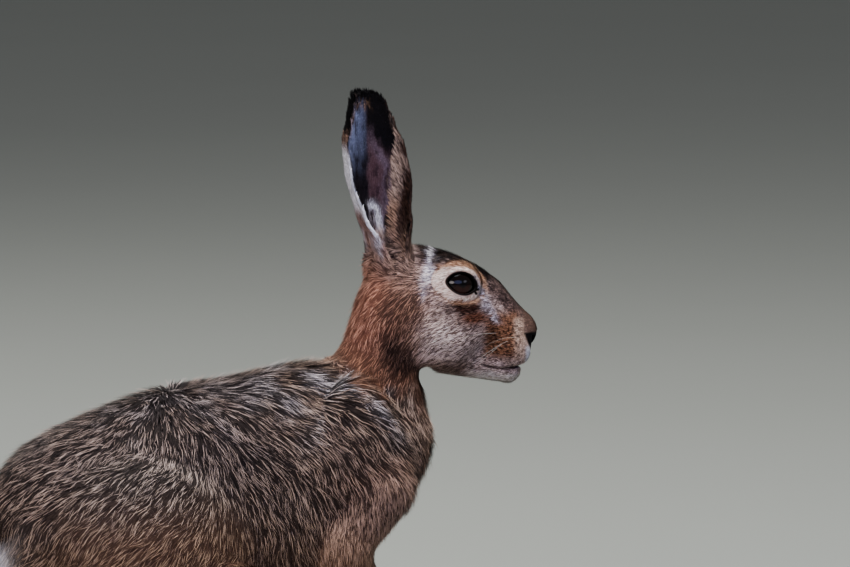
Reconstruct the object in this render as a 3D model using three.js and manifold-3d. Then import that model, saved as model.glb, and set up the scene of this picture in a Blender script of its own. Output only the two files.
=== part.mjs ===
// A brown hare, life size, sitting half upright with its forelegs straight and its ears raised.
// Lengths are in millimetres, +Z is up and the trunk faces +X. The hare's right side is at -Y.
// The head has a frame of its own: x forward, y to the left and z up from the point midway
// between the eyes. The flesh is one smooth body of rounded masses, parted by thin cuts.

import * as THREE from 'three';
import { mergeVertices } from 'three/addons/utils/BufferGeometryUtils.js';
import Module from 'manifold-3d';

const wasm = await Module();
wasm.setup();

// Driving dimensions
const GAP = 0.3;
const EYE_HEIGHT = 252;
const HEAD_YAW = -11;
const EYE_RADIUS = 12;
const EYE_APART = 31;
const EYE_OUT = 8;
const EYE_UP = 6;
const LID_OPENING = [9.4, 7.1];
const LID_TILT = -14;
const LID_WIDTH = 3.6;
const LID_THICK = 1.1;
const EAR_LENGTH = 112;
const EAR_BACK = 10;
const EAR_FLAT = 0.7;
const EAR_BOW = 2;
const EAR_THICK = 2.6;
const HEAD_CELL = 5.3;
const PAW_CELL = 5.3;
const TRUNK_CELL = 13;
const SLIVER = 0.1;
const TINY = 1e-6;

const FUR = { brown: 0x8a6a4c, rust: 0xa05a2e, grey: 0x9a8c80, pale: 0xcbb8a2 };
const DARK = { ear: 0x5a4640, eye: 0x1a0f0a, tail: 0x2a2420 };

// Rounded masses. An ellipsoid has its centre, its half sizes along, across and up, and its
// pitch in degrees, nose up. A limb runs between two points with a radius at each. A mass with
// y above 0 stands for one on each side. blend is how softly it joins those before it.
const HEAD_MASSES = [
  { name: 'cranium', at: [-22, 0, -4], half: [33, 24, 28], pitch: -20, blend: 1 },
  { name: 'face', from: [-5, 0, -13], to: [41, 0, -35.5], radii: [27, 14.2], blend: 10 },
  { name: 'cheek', at: [-15, 13, -33], half: [31, 17, 22], pitch: -14, blend: 10 },
  { name: 'jaw', from: [-2, 0, -46], to: [36.5, 0, -58.8], radii: [15.5, 9.8], blend: 9 },
  { name: 'forehead', at: [19, 0, -2], half: [19, 15, 8.5], pitch: -40, blend: 8 },
  { name: 'bridge', from: [24, 0, -11], to: [45.5, 0, -30], radii: [10.5, 8.6], blend: 6 },
  { name: 'brow', at: [1, 17, 9], half: [16, 8, 7.5], pitch: -30, blend: 7 },
  { name: 'orbit', at: [0, 15.5, 0], half: [15, 13.2, 13], pitch: -14, blend: 6 },
  { name: 'lip', at: [39, 8.5, -44.5], half: [13, 9, 11], pitch: -38, blend: 5 },
  { name: 'nose', at: [48, 0, -33.5], half: [7.5, 7.5, 7], pitch: -30, blend: 4 },
  { name: 'earRoot', from: [-40, 12, 2], to: [-43, 13, 11], radii: [15, 13.5], blend: 10 },
];

const TRUNK_MASSES = [
  { name: 'ribs', at: [-108, 0, 137], half: [84, 49, 61], pitch: 3, blend: 1 },
  { name: 'withers', at: [-106, 0, 169], half: [52, 26, 35], pitch: 2, blend: 22 },
  { name: 'loin', at: [-184, 0, 133], half: [84, 53, 63], pitch: 0, blend: 30 },
  { name: 'rump', at: [-254, 0, 107], half: [72, 58, 66], pitch: 8, blend: 30 },
  { name: 'belly', at: [-160, 0, 92], half: [92, 46, 46], pitch: 0, blend: 30 },
  { name: 'chest', at: [-57, 0, 160], half: [40, 38, 50], pitch: 0, blend: 20 },
  { name: 'neck', from: [-57, 0, 186], to: [-41.5, 0, 234], radii: [28, 27.5], blend: 16 },
  { name: 'shoulder', at: [-78, 32, 148], half: [32, 22, 51], pitch: 14, blend: 10 },
];

const THIGH = { at: [-226, 44, 92], half: [66, 30, 58], pitch: -24, blend: 14 };
const SHANK = { from: [-172, 56, 58], to: [-286, 50, 24], radii: [25, 15], blend: 12 };
const TAIL = { from: [-310, 0, 92], to: [-342, 0, 66], radii: [21, 22], blend: 10 };
const TAIL_TIP = { from: [-342, 0, 66], to: [-363, 0, 50], radii: [22, 15], blend: 10 };

// Each side has how far its limbs stand ahead of the plain stance.
const SIDES = [
  { name: 'right', y: -1, fore: 0, hind: 0 },
  { name: 'left', y: 1, fore: 9, hind: 6 },
];
const ARM = { from: [-64, 36, 122], to: [-92, 38, 84], radii: [24, 19], blend: 12 };
const FOREARM = { from: [-91, 35, 86], to: [-60, 27, 24], radii: [18, 10], blend: 9 };
const FORE_SOLE = { from: [-57, 27, 10.3], to: [-42, 27, 8.3], radii: [9.8, 10], blend: 7 };
const HIND_SOLE = { from: [-288, 50, 12], to: [-192, 54, 10.5], radii: [12.4, 13], blend: 9 };
const TOE = { radius: 5.6, taper: 0.86, blend: 2.5, rise: 5.4, root: 2, close: 0.8, step: 2.4 };
const CLAW = { length: 8, radius: 1.7, tip: 0.5, droop: 2.4, sides: 5 };
const FORE_TOES = { count: 4, reach: 14, spread: 7.2, fan: 6 };
const HIND_TOES = { count: 4, reach: 17, spread: 8.6, fan: 6 };

// Where the parts are divided: a point on each cut and the way its upper side faces.
const HEAD_CUT = { at: [-41, 0, 226], facing: [0.81, 0, 0.587] };
const NECK_CUT = { at: [-60, 0, 184], facing: [0.56, 0, 0.83] };
const TAIL_CUT = { at: [-321, 0, 84], facing: [0.86, 0, 0.51] };
const WRIST_CUT = { at: [-60, 0, 30], facing: [-0.3, 0, 0.954] };
const SEAT = { thigh: 8, arm: 5, foot: 3.5, blend: 20 };
const NECK_BLEND = 12;
const PAW_ROOM = 26;
const PAW_TOP = 60;
const BELOW_FLOOR = -14;

// The boxes that the surfaces are made in, each as its lowest and its highest corner
const HARE_BOX = [[-400, -100, BELOW_FLOOR], [80, 100, 310]];
const HEAD_BOX = [[-82, -62, 168], [74, 62, 300]];

const radians = THREE.MathUtils.degToRad;
const vector = (xyz) => new THREE.Vector3(...xyz);
const mix = THREE.MathUtils.lerp;

const headPlace = new THREE.Matrix4()
  .makeTranslation(0, 0, EYE_HEIGHT)
  .multiply(new THREE.Matrix4().makeRotationZ(radians(HEAD_YAW)));
const headInverse = headPlace.clone().invert();

// Distances to the rounded masses
function ellipsoid(mass) {
  const centre = vector(mass.at);
  const half = vector(mass.half);
  const cos = Math.cos(radians(mass.pitch));
  const sin = Math.sin(radians(mass.pitch));
  return (x, y, z) => {
    const dx = x - centre.x;
    const dz = z - centre.z;
    const a = (dx * cos + dz * sin) / half.x;
    const b = (y - centre.y) / half.y;
    const c = (dz * cos - dx * sin) / half.z;
    const near = Math.hypot(a, b, c);
    const slope = Math.hypot(a / half.x, b / half.y, c / half.z);
    return (near * (near - 1)) / Math.max(slope, TINY);
  };
}

function limb(mass) {
  const start = vector(mass.from);
  const run = vector(mass.to).sub(start);
  const square = run.lengthSq();
  const [first, last] = mass.radii;
  return (x, y, z) => {
    const dx = x - start.x;
    const dy = y - start.y;
    const dz = z - start.z;
    const t = THREE.MathUtils.clamp((dx * run.x + dy * run.y + dz * run.z) / square, 0, 1);
    return Math.hypot(dx - run.x * t, dy - run.y * t, dz - run.z * t) - mix(first, last, t);
  };
}

const distanceTo = (mass) => (mass.at ? ellipsoid(mass) : limb(mass));

function blendOf(a, b, blend) {
  const overlap = Math.max(blend - Math.abs(a - b), 0) / blend;
  return Math.min(a, b) - (overlap * overlap * blend) / 4;
}

// One field of masses: below 0 inside, with a mass off the middle mirrored to both sides
function fieldOf(masses) {
  const terms = masses.map((mass) => ({ distance: distanceTo(mass), blend: mass.blend }));
  return (x, y, z) => {
    const side = Math.abs(y);
    let value = 1e6;
    for (const term of terms) value = blendOf(value, term.distance(x, side, z), term.blend);
    return value;
  };
}

function moved(mass, side, ahead) {
  const place = ([x, y, z]) => [x + ahead, y * side, z];
  const copy = { ...mass };
  for (const key of ['at', 'from', 'to']) if (mass[key]) copy[key] = place(mass[key]);
  return copy;
}

// The toes of one foot, fanned about the sole's front end
function toesOf(sole, toes) {
  const front = vector(sole.to);
  return Array.from({ length: toes.count }, (_, i) => {
    const across = i - (toes.count - 1) / 2;
    const turn = radians(across * toes.fan);
    const root = [front.x + TOE.root, front.y + across * toes.spread * TOE.close, TOE.rise];
    const reach = toes.reach - Math.abs(across) * TOE.step;
    const tip = [front.x + reach, root[1] + Math.tan(turn) * reach, TOE.rise];
    const radii = [TOE.radius, TOE.radius * TOE.taper];
    return { name: 'toe', from: root, to: tip, radii, blend: TOE.blend };
  });
}

const headField = fieldOf(HEAD_MASSES);
const trunkField = fieldOf(TRUNK_MASSES);
const tailField = fieldOf([TAIL, TAIL_TIP]);

// All the limb masses of one side, by the part that they belong to
function limbsOf(side) {
  const hindSole = moved(HIND_SOLE, side.y, side.hind);
  const foreSole = moved(FORE_SOLE, side.y, side.fore);
  return {
    thigh: [moved(THIGH, side.y, 0), moved(SHANK, side.y, side.hind / 2)],
    arm: [moved(ARM, side.y, 0), moved(FOREARM, side.y, side.fore / 2)],
    forepaw: [foreSole, ...toesOf(foreSole, FORE_TOES)],
    hindfoot: [hindSole, ...toesOf(hindSole, HIND_TOES)],
  };
}

const limbTerms = SIDES.flatMap((side) =>
  Object.values(limbsOf(side))
    .flat()
    .map((mass) => ({ distance: distanceTo(mass), blend: mass.blend })),
);

// The whole hare but for its ears and eyes
function hare(x, y, z) {
  const point = new THREE.Vector3(x, y, z).applyMatrix4(headInverse);
  let value = trunkField(x, y, z);
  for (const term of limbTerms) value = blendOf(value, term.distance(x, y, z), term.blend);
  value = blendOf(value, headField(point.x, point.y, point.z), NECK_BLEND);
  return blendOf(value, tailField(x, y, z), TAIL.blend);
}

function slopeAt(field, p, step = 0.2) {
  return new THREE.Vector3(
    field(p.x + step, p.y, p.z) - field(p.x - step, p.y, p.z),
    field(p.x, p.y + step, p.z) - field(p.x, p.y - step, p.z),
    field(p.x, p.y, p.z + step) - field(p.x, p.y, p.z - step),
  ).divideScalar(2 * step);
}

// The corners, edges and sides of a grid cell. Corner n lies at the bits of n along x, y and z.
const CORNERS = Array.from({ length: 8 }, (_, n) => [n & 1, (n >> 1) & 1, n >> 2]);
const EDGES = CORNERS.flatMap((corner, n) =>
  [0, 1, 2].filter((axis) => !corner[axis]).map((axis) => [n, n + (1 << axis)]),
);
const edgeBetween = (a, b) =>
  EDGES.findIndex(([p, q]) => p === Math.min(a, b) && q === Math.max(a, b));
const CELL_SIDES = [0, 1, 2].flatMap((axis) => {
  const [u, v] = [1 << (axis + 1) % 3, 1 << (axis + 2) % 3];
  return [0, 1 << axis].map((base) => [base, base + u, base + u + v, base + v]);
});

// The sheets of surface in one cell, each as the list of the cell's edges that it crosses
function sheetsIn(value) {
  const inside = value.map((v) => v < 0);
  const sheet = EDGES.map(([a, b], n) => (inside[a] === inside[b] ? -1 : n));
  const join = (a, b) => {
    const [kept, lost] = [sheet[a], sheet[b]];
    sheet.forEach((n, i) => {
      if (n === lost) sheet[i] = kept;
    });
  };
  for (const ring of CELL_SIDES) {
    const around = ring.map((corner, i) => edgeBetween(corner, ring[(i + 1) % 4]));
    const crossed = around.filter((edge) => sheet[edge] >= 0);
    if (crossed.length === 2) join(...crossed);
    if (crossed.length < 4) continue;
    ring.forEach((corner, i) => {
      if (inside[corner]) join(around[(i + 3) % 4], around[i]);
    });
  }
  const names = [...new Set(sheet)].filter((n) => n >= 0);
  return names.map((name) => sheet.flatMap((n, edge) => (n === name ? [edge] : [])));
}

// A closed surface round the inside of a field, within a box: one vertex in each grid cell for
// each sheet that crosses it, drawn onto the surface, and one quad across each grid edge that is
// crossed. With room, its vertices then move out by that much.
function surfaceOf(field, low, high, cell, room = 0) {
  const count = [0, 1, 2].map((i) => Math.ceil((high[i] - low[i]) / cell) + 1);
  const at = (i, j, k) => (k * count[1] + j) * count[0] + i;
  const values = new Float64Array(count[0] * count[1] * count[2]);
  const rim = (i, axis) => i === 0 || i === count[axis] - 1;
  for (let k = 0; k < count[2]; k++) {
    for (let j = 0; j < count[1]; j++) {
      for (let i = 0; i < count[0]; i++) {
        const value = field(low[0] + i * cell, low[1] + j * cell, low[2] + k * cell);
        const outer = rim(i, 0) || rim(j, 1) || rim(k, 2);
        values[at(i, j, k)] = outer ? Math.max(value, cell / 2) : value;
      }
    }
  }
  const positions = [];
  const vertexOf = new Map();
  const key = (i, j, k, edge) => at(i, j, k) * EDGES.length + edge;
  for (let k = 0; k < count[2] - 1; k++) {
    for (let j = 0; j < count[1] - 1; j++) {
      for (let i = 0; i < count[0] - 1; i++) {
        const value = CORNERS.map(([a, b, c]) => values[at(i + a, j + b, k + c)]);
        if (value.every((v) => v < 0) || value.every((v) => v >= 0)) continue;
        for (const sheet of sheetsIn(value)) {
          const place = new THREE.Vector3();
          for (const edge of sheet) {
            const [a, b] = EDGES[edge];
            const share = value[a] / (value[a] - value[b]);
            place.add(vector(CORNERS[a]).lerp(vector(CORNERS[b]), share));
            vertexOf.set(key(i, j, k, edge), positions.length);
          }
          place.divideScalar(sheet.length).add(new THREE.Vector3(i, j, k));
          positions.push(onSurface(field, place.multiplyScalar(cell).add(vector(low)), cell));
        }
      }
    }
  }
  const faces = [];
  const quad = (a, b, c, d) => {
    const [p, q, r, s] = [a, b, c, d].map((n) => positions[n]);
    if (p.distanceTo(r) < q.distanceTo(s)) faces.push(a, b, c, a, c, d);
    else faces.push(b, c, d, b, d, a);
  };
  for (let k = 0; k < count[2] - 1; k++) {
    for (let j = 0; j < count[1] - 1; j++) {
      for (let i = 0; i < count[0] - 1; i++) {
        const spot = [i, j, k];
        const here = values[at(i, j, k)] < 0;
        for (let axis = 0; axis < 3; axis++) {
          const [u, v] = [(axis + 1) % 3, (axis + 2) % 3];
          const next = spot.map((n, m) => n + (m === axis ? 1 : 0));
          if (!spot[u] || !spot[v] || here === values[at(...next)] < 0) continue;
          const ring = [[1, 1], [0, 1], [0, 0], [1, 0]].map(([back, down]) => {
            const cellSpot = [...spot];
            cellSpot[u] -= back;
            cellSpot[v] -= down;
            const corner = (back << u) + (down << v);
            return vertexOf.get(key(...cellSpot, edgeBetween(corner, corner + (1 << axis))));
          });
          quad(...(here ? ring : ring.reverse()));
        }
      }
    }
  }
  for (const p of positions) if (room) p.addScaledVector(slopeAt(field, p).normalize(), room);
  return solid(positions, faces);
}

// A point moved along the field's slope onto the surface, by less than half a cell
function onSurface(field, start, cell) {
  const p = start.clone();
  for (let turn = 0; turn < 3; turn++) {
    const slope = slopeAt(field, p);
    const square = slope.lengthSq();
    if (square < TINY) break;
    p.addScaledVector(slope, -field(p.x, p.y, p.z) / square);
  }
  const away = p.clone().sub(start);
  if (away.length() > cell / 2) p.copy(start).addScaledVector(away, cell / 2 / away.length());
  return p;
}

// Solids for joining and cutting
function solid(points, faces) {
  const vertProperties = new Float32Array(points.flatMap((p) => [p.x, p.y, p.z]));
  const triVerts = new Uint32Array(faces);
  return new wasm.Manifold(new wasm.Mesh({ numProp: 3, vertProperties, triVerts }));
}

function solidFrom(geometry) {
  const plain = geometry.clone();
  plain.deleteAttribute('normal');
  plain.deleteAttribute('uv');
  const merged = mergeVertices(plain, 1e-4);
  const points = Array.from({ length: merged.attributes.position.count }, (_, i) =>
    new THREE.Vector3().fromBufferAttribute(merged.attributes.position, i),
  );
  return solid(points, Array.from(merged.index.array));
}

// A solid through rings of points, all of one length: capped at its ends, or closed on itself
function loft(rings, closed = false) {
  const size = rings[0].length;
  const points = rings.flat();
  const faces = [];
  const steps = closed ? rings.length : rings.length - 1;
  for (let r = 0; r < steps; r++) {
    const next = (r + 1) % rings.length;
    for (let i = 0; i < size; i++) {
      const j = (i + 1) % size;
      const [a, b, c, d] = [r * size + i, r * size + j, next * size + j, next * size + i];
      faces.push(a, b, c, a, c, d);
    }
  }
  if (!closed) {
    for (const [r, turned] of [[0, true], [rings.length - 1, false]]) {
      const middle = points.length;
      points.push(rings[r].reduce((sum, p) => sum.add(p), new THREE.Vector3()).divideScalar(size));
      for (let i = 0; i < size; i++) {
        const pair = [r * size + i, r * size + ((i + 1) % size)];
        if (turned) pair.reverse();
        faces.push(...pair, middle);
      }
    }
  }
  const made = solid(points, faces);
  return made.volume() > 0 ? made : solid(points, faces.reverse());
}

const halfOf = (part, cut, upper) => {
  const facing = vector(cut.facing).normalize().multiplyScalar(upper ? 1 : -1);
  const offset = facing.dot(vector(cut.at)) + GAP / 2;
  return part.trimByPlane(facing.toArray(), offset);
};

const aboveFloor = (part) => part.trimByPlane([0, 0, 1], 0);

const largest = (part) =>
  part.decompose().reduce((best, piece) => (piece.volume() > best.volume() ? piece : best));

// The seat of a limb: its own masses grown by so much. It and its room, which is wider by the
// gap, part the limb from what it grows from.
function seatOf(masses, grown, cell) {
  const terms = masses.map((mass) => distanceTo(mass));
  const field = (x, y, z) =>
    terms.reduce((value, term) => blendOf(value, term(x, y, z), SEAT.blend), 1e6) - grown;
  const points = masses.flatMap((mass) => (mass.at ? [mass.at] : [mass.from, mass.to]));
  const reach = (mass) => Math.max(...(mass.half ?? mass.radii));
  const margin = Math.max(...masses.map(reach)) + grown + 3 * cell;
  const low = [0, 1, 2].map((i) => Math.min(...points.map((p) => p[i])) - margin);
  const high = [0, 1, 2].map((i) => Math.max(...points.map((p) => p[i])) + margin);
  return [0, GAP].map((room) => surfaceOf(field, low, high, cell, room));
}

// The eye: a ball in a socket behind a lid rim
const eyeCentre = (side) => new THREE.Vector3(0, (side * EYE_APART) / 2, 0);

function eyeFrame(side) {
  const outward = new THREE.Vector3(
    Math.sin(radians(EYE_OUT)),
    side * Math.cos(radians(EYE_OUT)) * Math.cos(radians(EYE_UP)),
    Math.sin(radians(EYE_UP)),
  ).normalize();
  const along = new THREE.Vector3(1, 0, Math.tan(radians(LID_TILT)));
  along.addScaledVector(outward, -along.dot(outward)).normalize();
  const up = new THREE.Vector3().crossVectors(outward, along).multiplyScalar(side).normalize();
  if (up.z < 0) up.negate();
  return { outward, along, up };
}

// A point at a turn round the lid opening, so far outside it, at a height above the eye's centre
function lidPoint(side, turn, beyond, radius) {
  const { outward, along, up } = eyeFrame(side);
  const cos = Math.cos(turn);
  const sin = Math.sin(turn);
  const corner = 1 + 0.1 * Math.max(cos, 0) ** 6;
  const a = (LID_OPENING[0] + beyond) * cos * corner;
  const b = (LID_OPENING[1] + beyond) * sin * (1 - 0.06 * cos * cos);
  const height = Math.sqrt(Math.max(radius * radius - a * a - b * b, 4));
  return eyeCentre(side).addScaledVector(along, a).addScaledVector(up, b).addScaledVector(outward, height);
}

const LID_STEPS = 20;
const turns = (count) => Array.from({ length: count }, (_, i) => (2 * Math.PI * i) / count);

function lids(side) {
  const under = EYE_RADIUS + GAP + 0.1;
  const rings = turns(LID_STEPS).map((turn) => [
    lidPoint(side, turn, 0, under),
    lidPoint(side, turn, 0.3, under + LID_THICK * 0.8),
    lidPoint(side, turn, LID_WIDTH * 0.45, under + LID_THICK),
    lidPoint(side, turn, LID_WIDTH, under),
    lidPoint(side, turn, LID_WIDTH, under - 1.2),
  ]);
  return loft(rings, true);
}

// What is taken out of the head in front of the eye
function lidClearing(side) {
  const { outward } = eyeFrame(side);
  const ring = (beyond, lift) =>
    turns(LID_STEPS).map((turn) =>
      lidPoint(side, turn, beyond, EYE_RADIUS - 1).addScaledVector(outward, lift),
    );
  return loft([ring(0.2, -2), ring(0.2, 0.5), ring(4, 15)]);
}

function eyeball(side, radius) {
  const ball = new THREE.IcosahedronGeometry(radius, 3);
  const centre = eyeCentre(side);
  ball.translate(centre.x, centre.y, centre.z);
  return solidFrom(ball);
}

// A point of the head's side: at this x and z, out to where the flesh ends
function headSide(side, x, z) {
  let inside = 0;
  let outside = 45;
  for (let turn = 0; turn < 30; turn++) {
    const middle = (inside + outside) / 2;
    if (headField(x, side * middle, z) < 0) inside = middle;
    else outside = middle;
  }
  return new THREE.Vector3(x, side * inside, z);
}

// A groove along points of the surface, with a diamond section
function groove(points, depth, half) {
  const rings = points.map((p, i) => {
    const before = points[Math.max(i - 1, 0)];
    const after = points[Math.min(i + 1, points.length - 1)];
    const way = after.clone().sub(before).normalize();
    const out = slopeAt(headField, p).normalize();
    const across = new THREE.Vector3().crossVectors(way, out).normalize();
    const fade = 0.35 + 0.65 * Math.sin((Math.PI * (i + 0.7)) / (points.length + 0.4));
    return [
      p.clone().addScaledVector(out, -depth * fade),
      p.clone().addScaledVector(across, half * fade),
      p.clone().addScaledVector(out, 2.5),
      p.clone().addScaledVector(across, -half * fade),
    ];
  });
  return loft(rings);
}

// The mouth runs back and a little down from under the nose, below the lips
const MOUTH = { front: [46, -55.5], back: [19, -54.5], sag: 2.2, steps: 9, depth: 3.2, half: 1.3 };
function mouthLine(side) {
  const points = Array.from({ length: MOUTH.steps }, (_, i) => {
    const t = i / (MOUTH.steps - 1);
    const x = mix(MOUTH.front[0], MOUTH.back[0], t);
    const z = mix(MOUTH.front[1], MOUTH.back[1], t) - MOUTH.sag * Math.sin(Math.PI * t);
    return headSide(side, x, z);
  });
  return groove(points, MOUTH.depth, MOUTH.half);
}

// The cleft runs down the middle of the lip from the nose to the mouth
const CLEFT = { top: -39, bottom: -56, steps: 7, depth: 2.6, half: 1.2 };
function cleft() {
  const points = Array.from({ length: CLEFT.steps }, (_, i) => {
    const z = mix(CLEFT.top, CLEFT.bottom, i / (CLEFT.steps - 1));
    let x = 20;
    while (headField(x, 0, z) < 0) x += 0.1;
    return new THREE.Vector3(x, 0, z);
  });
  return groove(points, CLEFT.depth, CLEFT.half);
}

// A nostril is a slit that curls up and back beside the nose
const NOSTRIL = { start: [52.6, -40], end: [46.8, -32.6], steps: 6, depth: 4.6, half: 2.5 };
function nostril(side) {
  const points = Array.from({ length: NOSTRIL.steps }, (_, i) => {
    const t = i / (NOSTRIL.steps - 1);
    const x = mix(NOSTRIL.start[0], NOSTRIL.end[0], t);
    const z = mix(NOSTRIL.start[1], NOSTRIL.end[1], t) + 1.2 * Math.sin(Math.PI * t);
    return headSide(side, x, z);
  });
  return groove(points, NOSTRIL.depth, NOSTRIL.half);
}

// An ear is a cupped leaf. Its half width and how far its section bends round, in degrees, are
// given at shares of its length. Its opening faces out, and its tip leans back.
const EAR_SHAPE = [
  { at: 0, width: 11.5, bend: 150 },
  { at: 0.12, width: 13, bend: 135 },
  { at: 0.3, width: 17, bend: 105 },
  { at: 0.52, width: 21, bend: 82 },
  { at: 0.7, width: 20.2, bend: 70 },
  { at: 0.84, width: 15.6, bend: 62 },
  { at: 0.94, width: 12, bend: 56 },
  { at: 0.985, width: 10, bend: 50 },
  { at: 1, width: 7.2, bend: 46 },
];
const EARS = {
  right: { side: -1, root: [-41, 14, 12], lean: 8.5, splay: 4, opens: 84 },
  left: { side: 1, root: [-41, 14, 12], lean: 6.5, splay: 1, opens: 62 },
};
const HOLLOW = { low: 0.02, high: 0.4, rows: 6, narrow: 2.6 };
const EAR_ROWS = 15;
const EAR_COLUMNS = 11;

function earShape(t, key) {
  const next = EAR_SHAPE.findIndex((row) => row.at >= t);
  if (next <= 0) return EAR_SHAPE[0][key];
  const [a, b] = [EAR_SHAPE[next - 1], EAR_SHAPE[next]];
  return mix(a[key], b[key], THREE.MathUtils.smoothstep(t, a.at, b.at));
}

function earPoint(ear, t, across, depth) {
  const bend = radians(earShape(t, 'bend'));
  const width = earShape(t, 'width');
  const radius = width / Math.sin(Math.min(bend, Math.PI / 2));
  const flat = mix(1, EAR_FLAT, THREE.MathUtils.smoothstep(t, 0, 0.4));
  const turn = bend * across;
  const opens = radians(ear.opens) * ear.side;
  const out = [Math.cos(opens), Math.sin(opens)];
  const along = [-Math.sin(opens), Math.cos(opens)];
  const deep = (radius - (radius - depth) * Math.cos(turn)) * flat - EAR_BACK;
  const wide = Math.sin(turn) * (radius - depth);
  const height = EAR_LENGTH * t;
  const lean = Math.tan(radians(ear.lean)) * height + EAR_BOW * Math.sin(Math.PI * t);
  const splay = Math.tan(radians(ear.splay)) * height * ear.side;
  return new THREE.Vector3(
    ear.root[0] + out[0] * deep + along[0] * wide - lean,
    ear.root[1] * ear.side + out[1] * deep + along[1] * wide + splay,
    ear.root[2] + height,
  );
}

function earLeaf(ear) {
  const rings = Array.from({ length: EAR_ROWS }, (_, row) => {
    const t = row / (EAR_ROWS - 1);
    const spots = Array.from({ length: EAR_COLUMNS }, (_, i) => (2 * i) / (EAR_COLUMNS - 1) - 1);
    const thick = EAR_THICK * mix(1, 0.6, t);
    const outer = spots.map((s) => earPoint(ear, t, s, 0));
    const inner = spots.map((s) => earPoint(ear, t, s * 0.96, thick * (1 - 0.5 * s * s)));
    return { outer, inner };
  });
  const points = [];
  const faces = [];
  for (const { outer, inner } of rings) points.push(...outer, ...inner.reverse());
  const size = 2 * EAR_COLUMNS;
  const quad = (a, b, c, d) => faces.push(a, b, c, a, c, d);
  for (let r = 0; r < EAR_ROWS - 1; r++) {
    for (let i = 0; i < size; i++) {
      const j = (i + 1) % size;
      quad(r * size + i, r * size + j, (r + 1) * size + j, (r + 1) * size + i);
    }
  }
  for (let i = 0; i < EAR_COLUMNS - 1; i++) {
    const last = (EAR_ROWS - 1) * size;
    const [a, b, c, d] = [i, i + 1, size - 2 - i, size - 1 - i];
    quad(d, c, b, a);
    quad(last + a, last + b, last + c, last + d);
  }
  const leaf = solid(points, faces);
  return leaf.volume() > 0 ? leaf : solid(points, faces.reverse());
}

// The hollow of an ear's cup, down into the head: closed across the opening
function earHollow(ear) {
  const rings = Array.from({ length: HOLLOW.rows }, (_, row) => {
    const t = mix(HOLLOW.low, HOLLOW.high, row / (HOLLOW.rows - 1));
    const thick = EAR_THICK * mix(HOLLOW.narrow, 1, row / (HOLLOW.rows - 1));
    const spots = Array.from({ length: EAR_COLUMNS }, (_, i) => (2 * i) / (EAR_COLUMNS - 1) - 1);
    return spots.map((s) => earPoint(ear, t, s * 0.9, thick));
  });
  return loft(rings);
}

// A claw is a short cone that curves down from a toe's tip
function claw(toe) {
  const tip = vector(toe.to);
  const way = tip.clone().sub(vector(toe.from)).setZ(0).normalize();
  const up = new THREE.Vector3(0, 0, 1);
  const across = new THREE.Vector3().crossVectors(way, up);
  const ring = (ahead, lift, radius) =>
    turns(CLAW.sides).map((turn) =>
      tip
        .clone()
        .addScaledVector(way, ahead)
        .addScaledVector(up, lift + Math.sin(turn) * radius)
        .addScaledVector(across, Math.cos(turn) * radius),
    );
  const start = TOE.radius * 0.4;
  return loft([
    ring(start, 0.6, CLAW.radius),
    ring(start + CLAW.length * 0.55, 0, CLAW.radius * 0.8),
    ring(start + CLAW.length, -CLAW.droop, CLAW.tip),
  ]);
}

// A foot's own surface, finer than the trunk's, in a box round its masses
function fineFoot(masses) {
  const range = (axis) => masses.flatMap((mass) => [mass.from[axis], mass.to[axis]]);
  const low = [0, 1].map((axis) => Math.min(...range(axis)) - PAW_ROOM);
  const high = [0, 1].map((axis) => Math.max(...range(axis)) + PAW_ROOM);
  return surfaceOf(hare, [...low, BELOW_FLOOR], [...high, PAW_TOP], PAW_CELL);
}

const withClaws = (part, masses) =>
  masses.filter((mass) => mass.name === 'toe').reduce((sum, toe) => sum.add(claw(toe)), part);

// The parts, each as a solid
const whole = surfaceOf(hare, ...HARE_BOX, TRUNK_CELL);
const fineHead = surfaceOf(hare, ...HEAD_BOX, HEAD_CELL);

const headToWorld = (part) => part.transform(headPlace.elements);
const parts = {};

function makeHead() {
  let head = halfOf(fineHead, HEAD_CUT, true);
  for (const ear of Object.values(EARS)) head = head.subtract(headToWorld(earHollow(ear)));
  for (const { y } of SIDES) {
    head = head
      .subtract(headToWorld(lidClearing(y)))
      .add(headToWorld(lids(y)))
      .subtract(headToWorld(eyeball(y, EYE_RADIUS + GAP)))
      .subtract(headToWorld(mouthLine(y)))
      .subtract(headToWorld(nostril(y)));
  }
  return largest(head.subtract(headToWorld(cleft())));
}

function makeEar(name) {
  const leaf = headToWorld(earLeaf(EARS[name]));
  const grown = surfaceOf((x, y, z) => hare(x, y, z) - GAP, ...HEAD_BOX, HEAD_CELL);
  return largest(leaf.subtract(grown));
}

parts.head = makeHead();
for (const side of SIDES) {
  parts[`ear_${side.name}`] = makeEar(side.name);
  parts[`eye_${side.name}`] = headToWorld(eyeball(side.y, EYE_RADIUS));
}

const behind = halfOf(whole, HEAD_CUT, false);
parts.neck = largest(halfOf(behind, NECK_CUT, true));
const trunk = halfOf(behind, NECK_CUT, false);
parts.tail = largest(halfOf(trunk, TAIL_CUT, false));
let torso = halfOf(trunk, TAIL_CUT, true);

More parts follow.
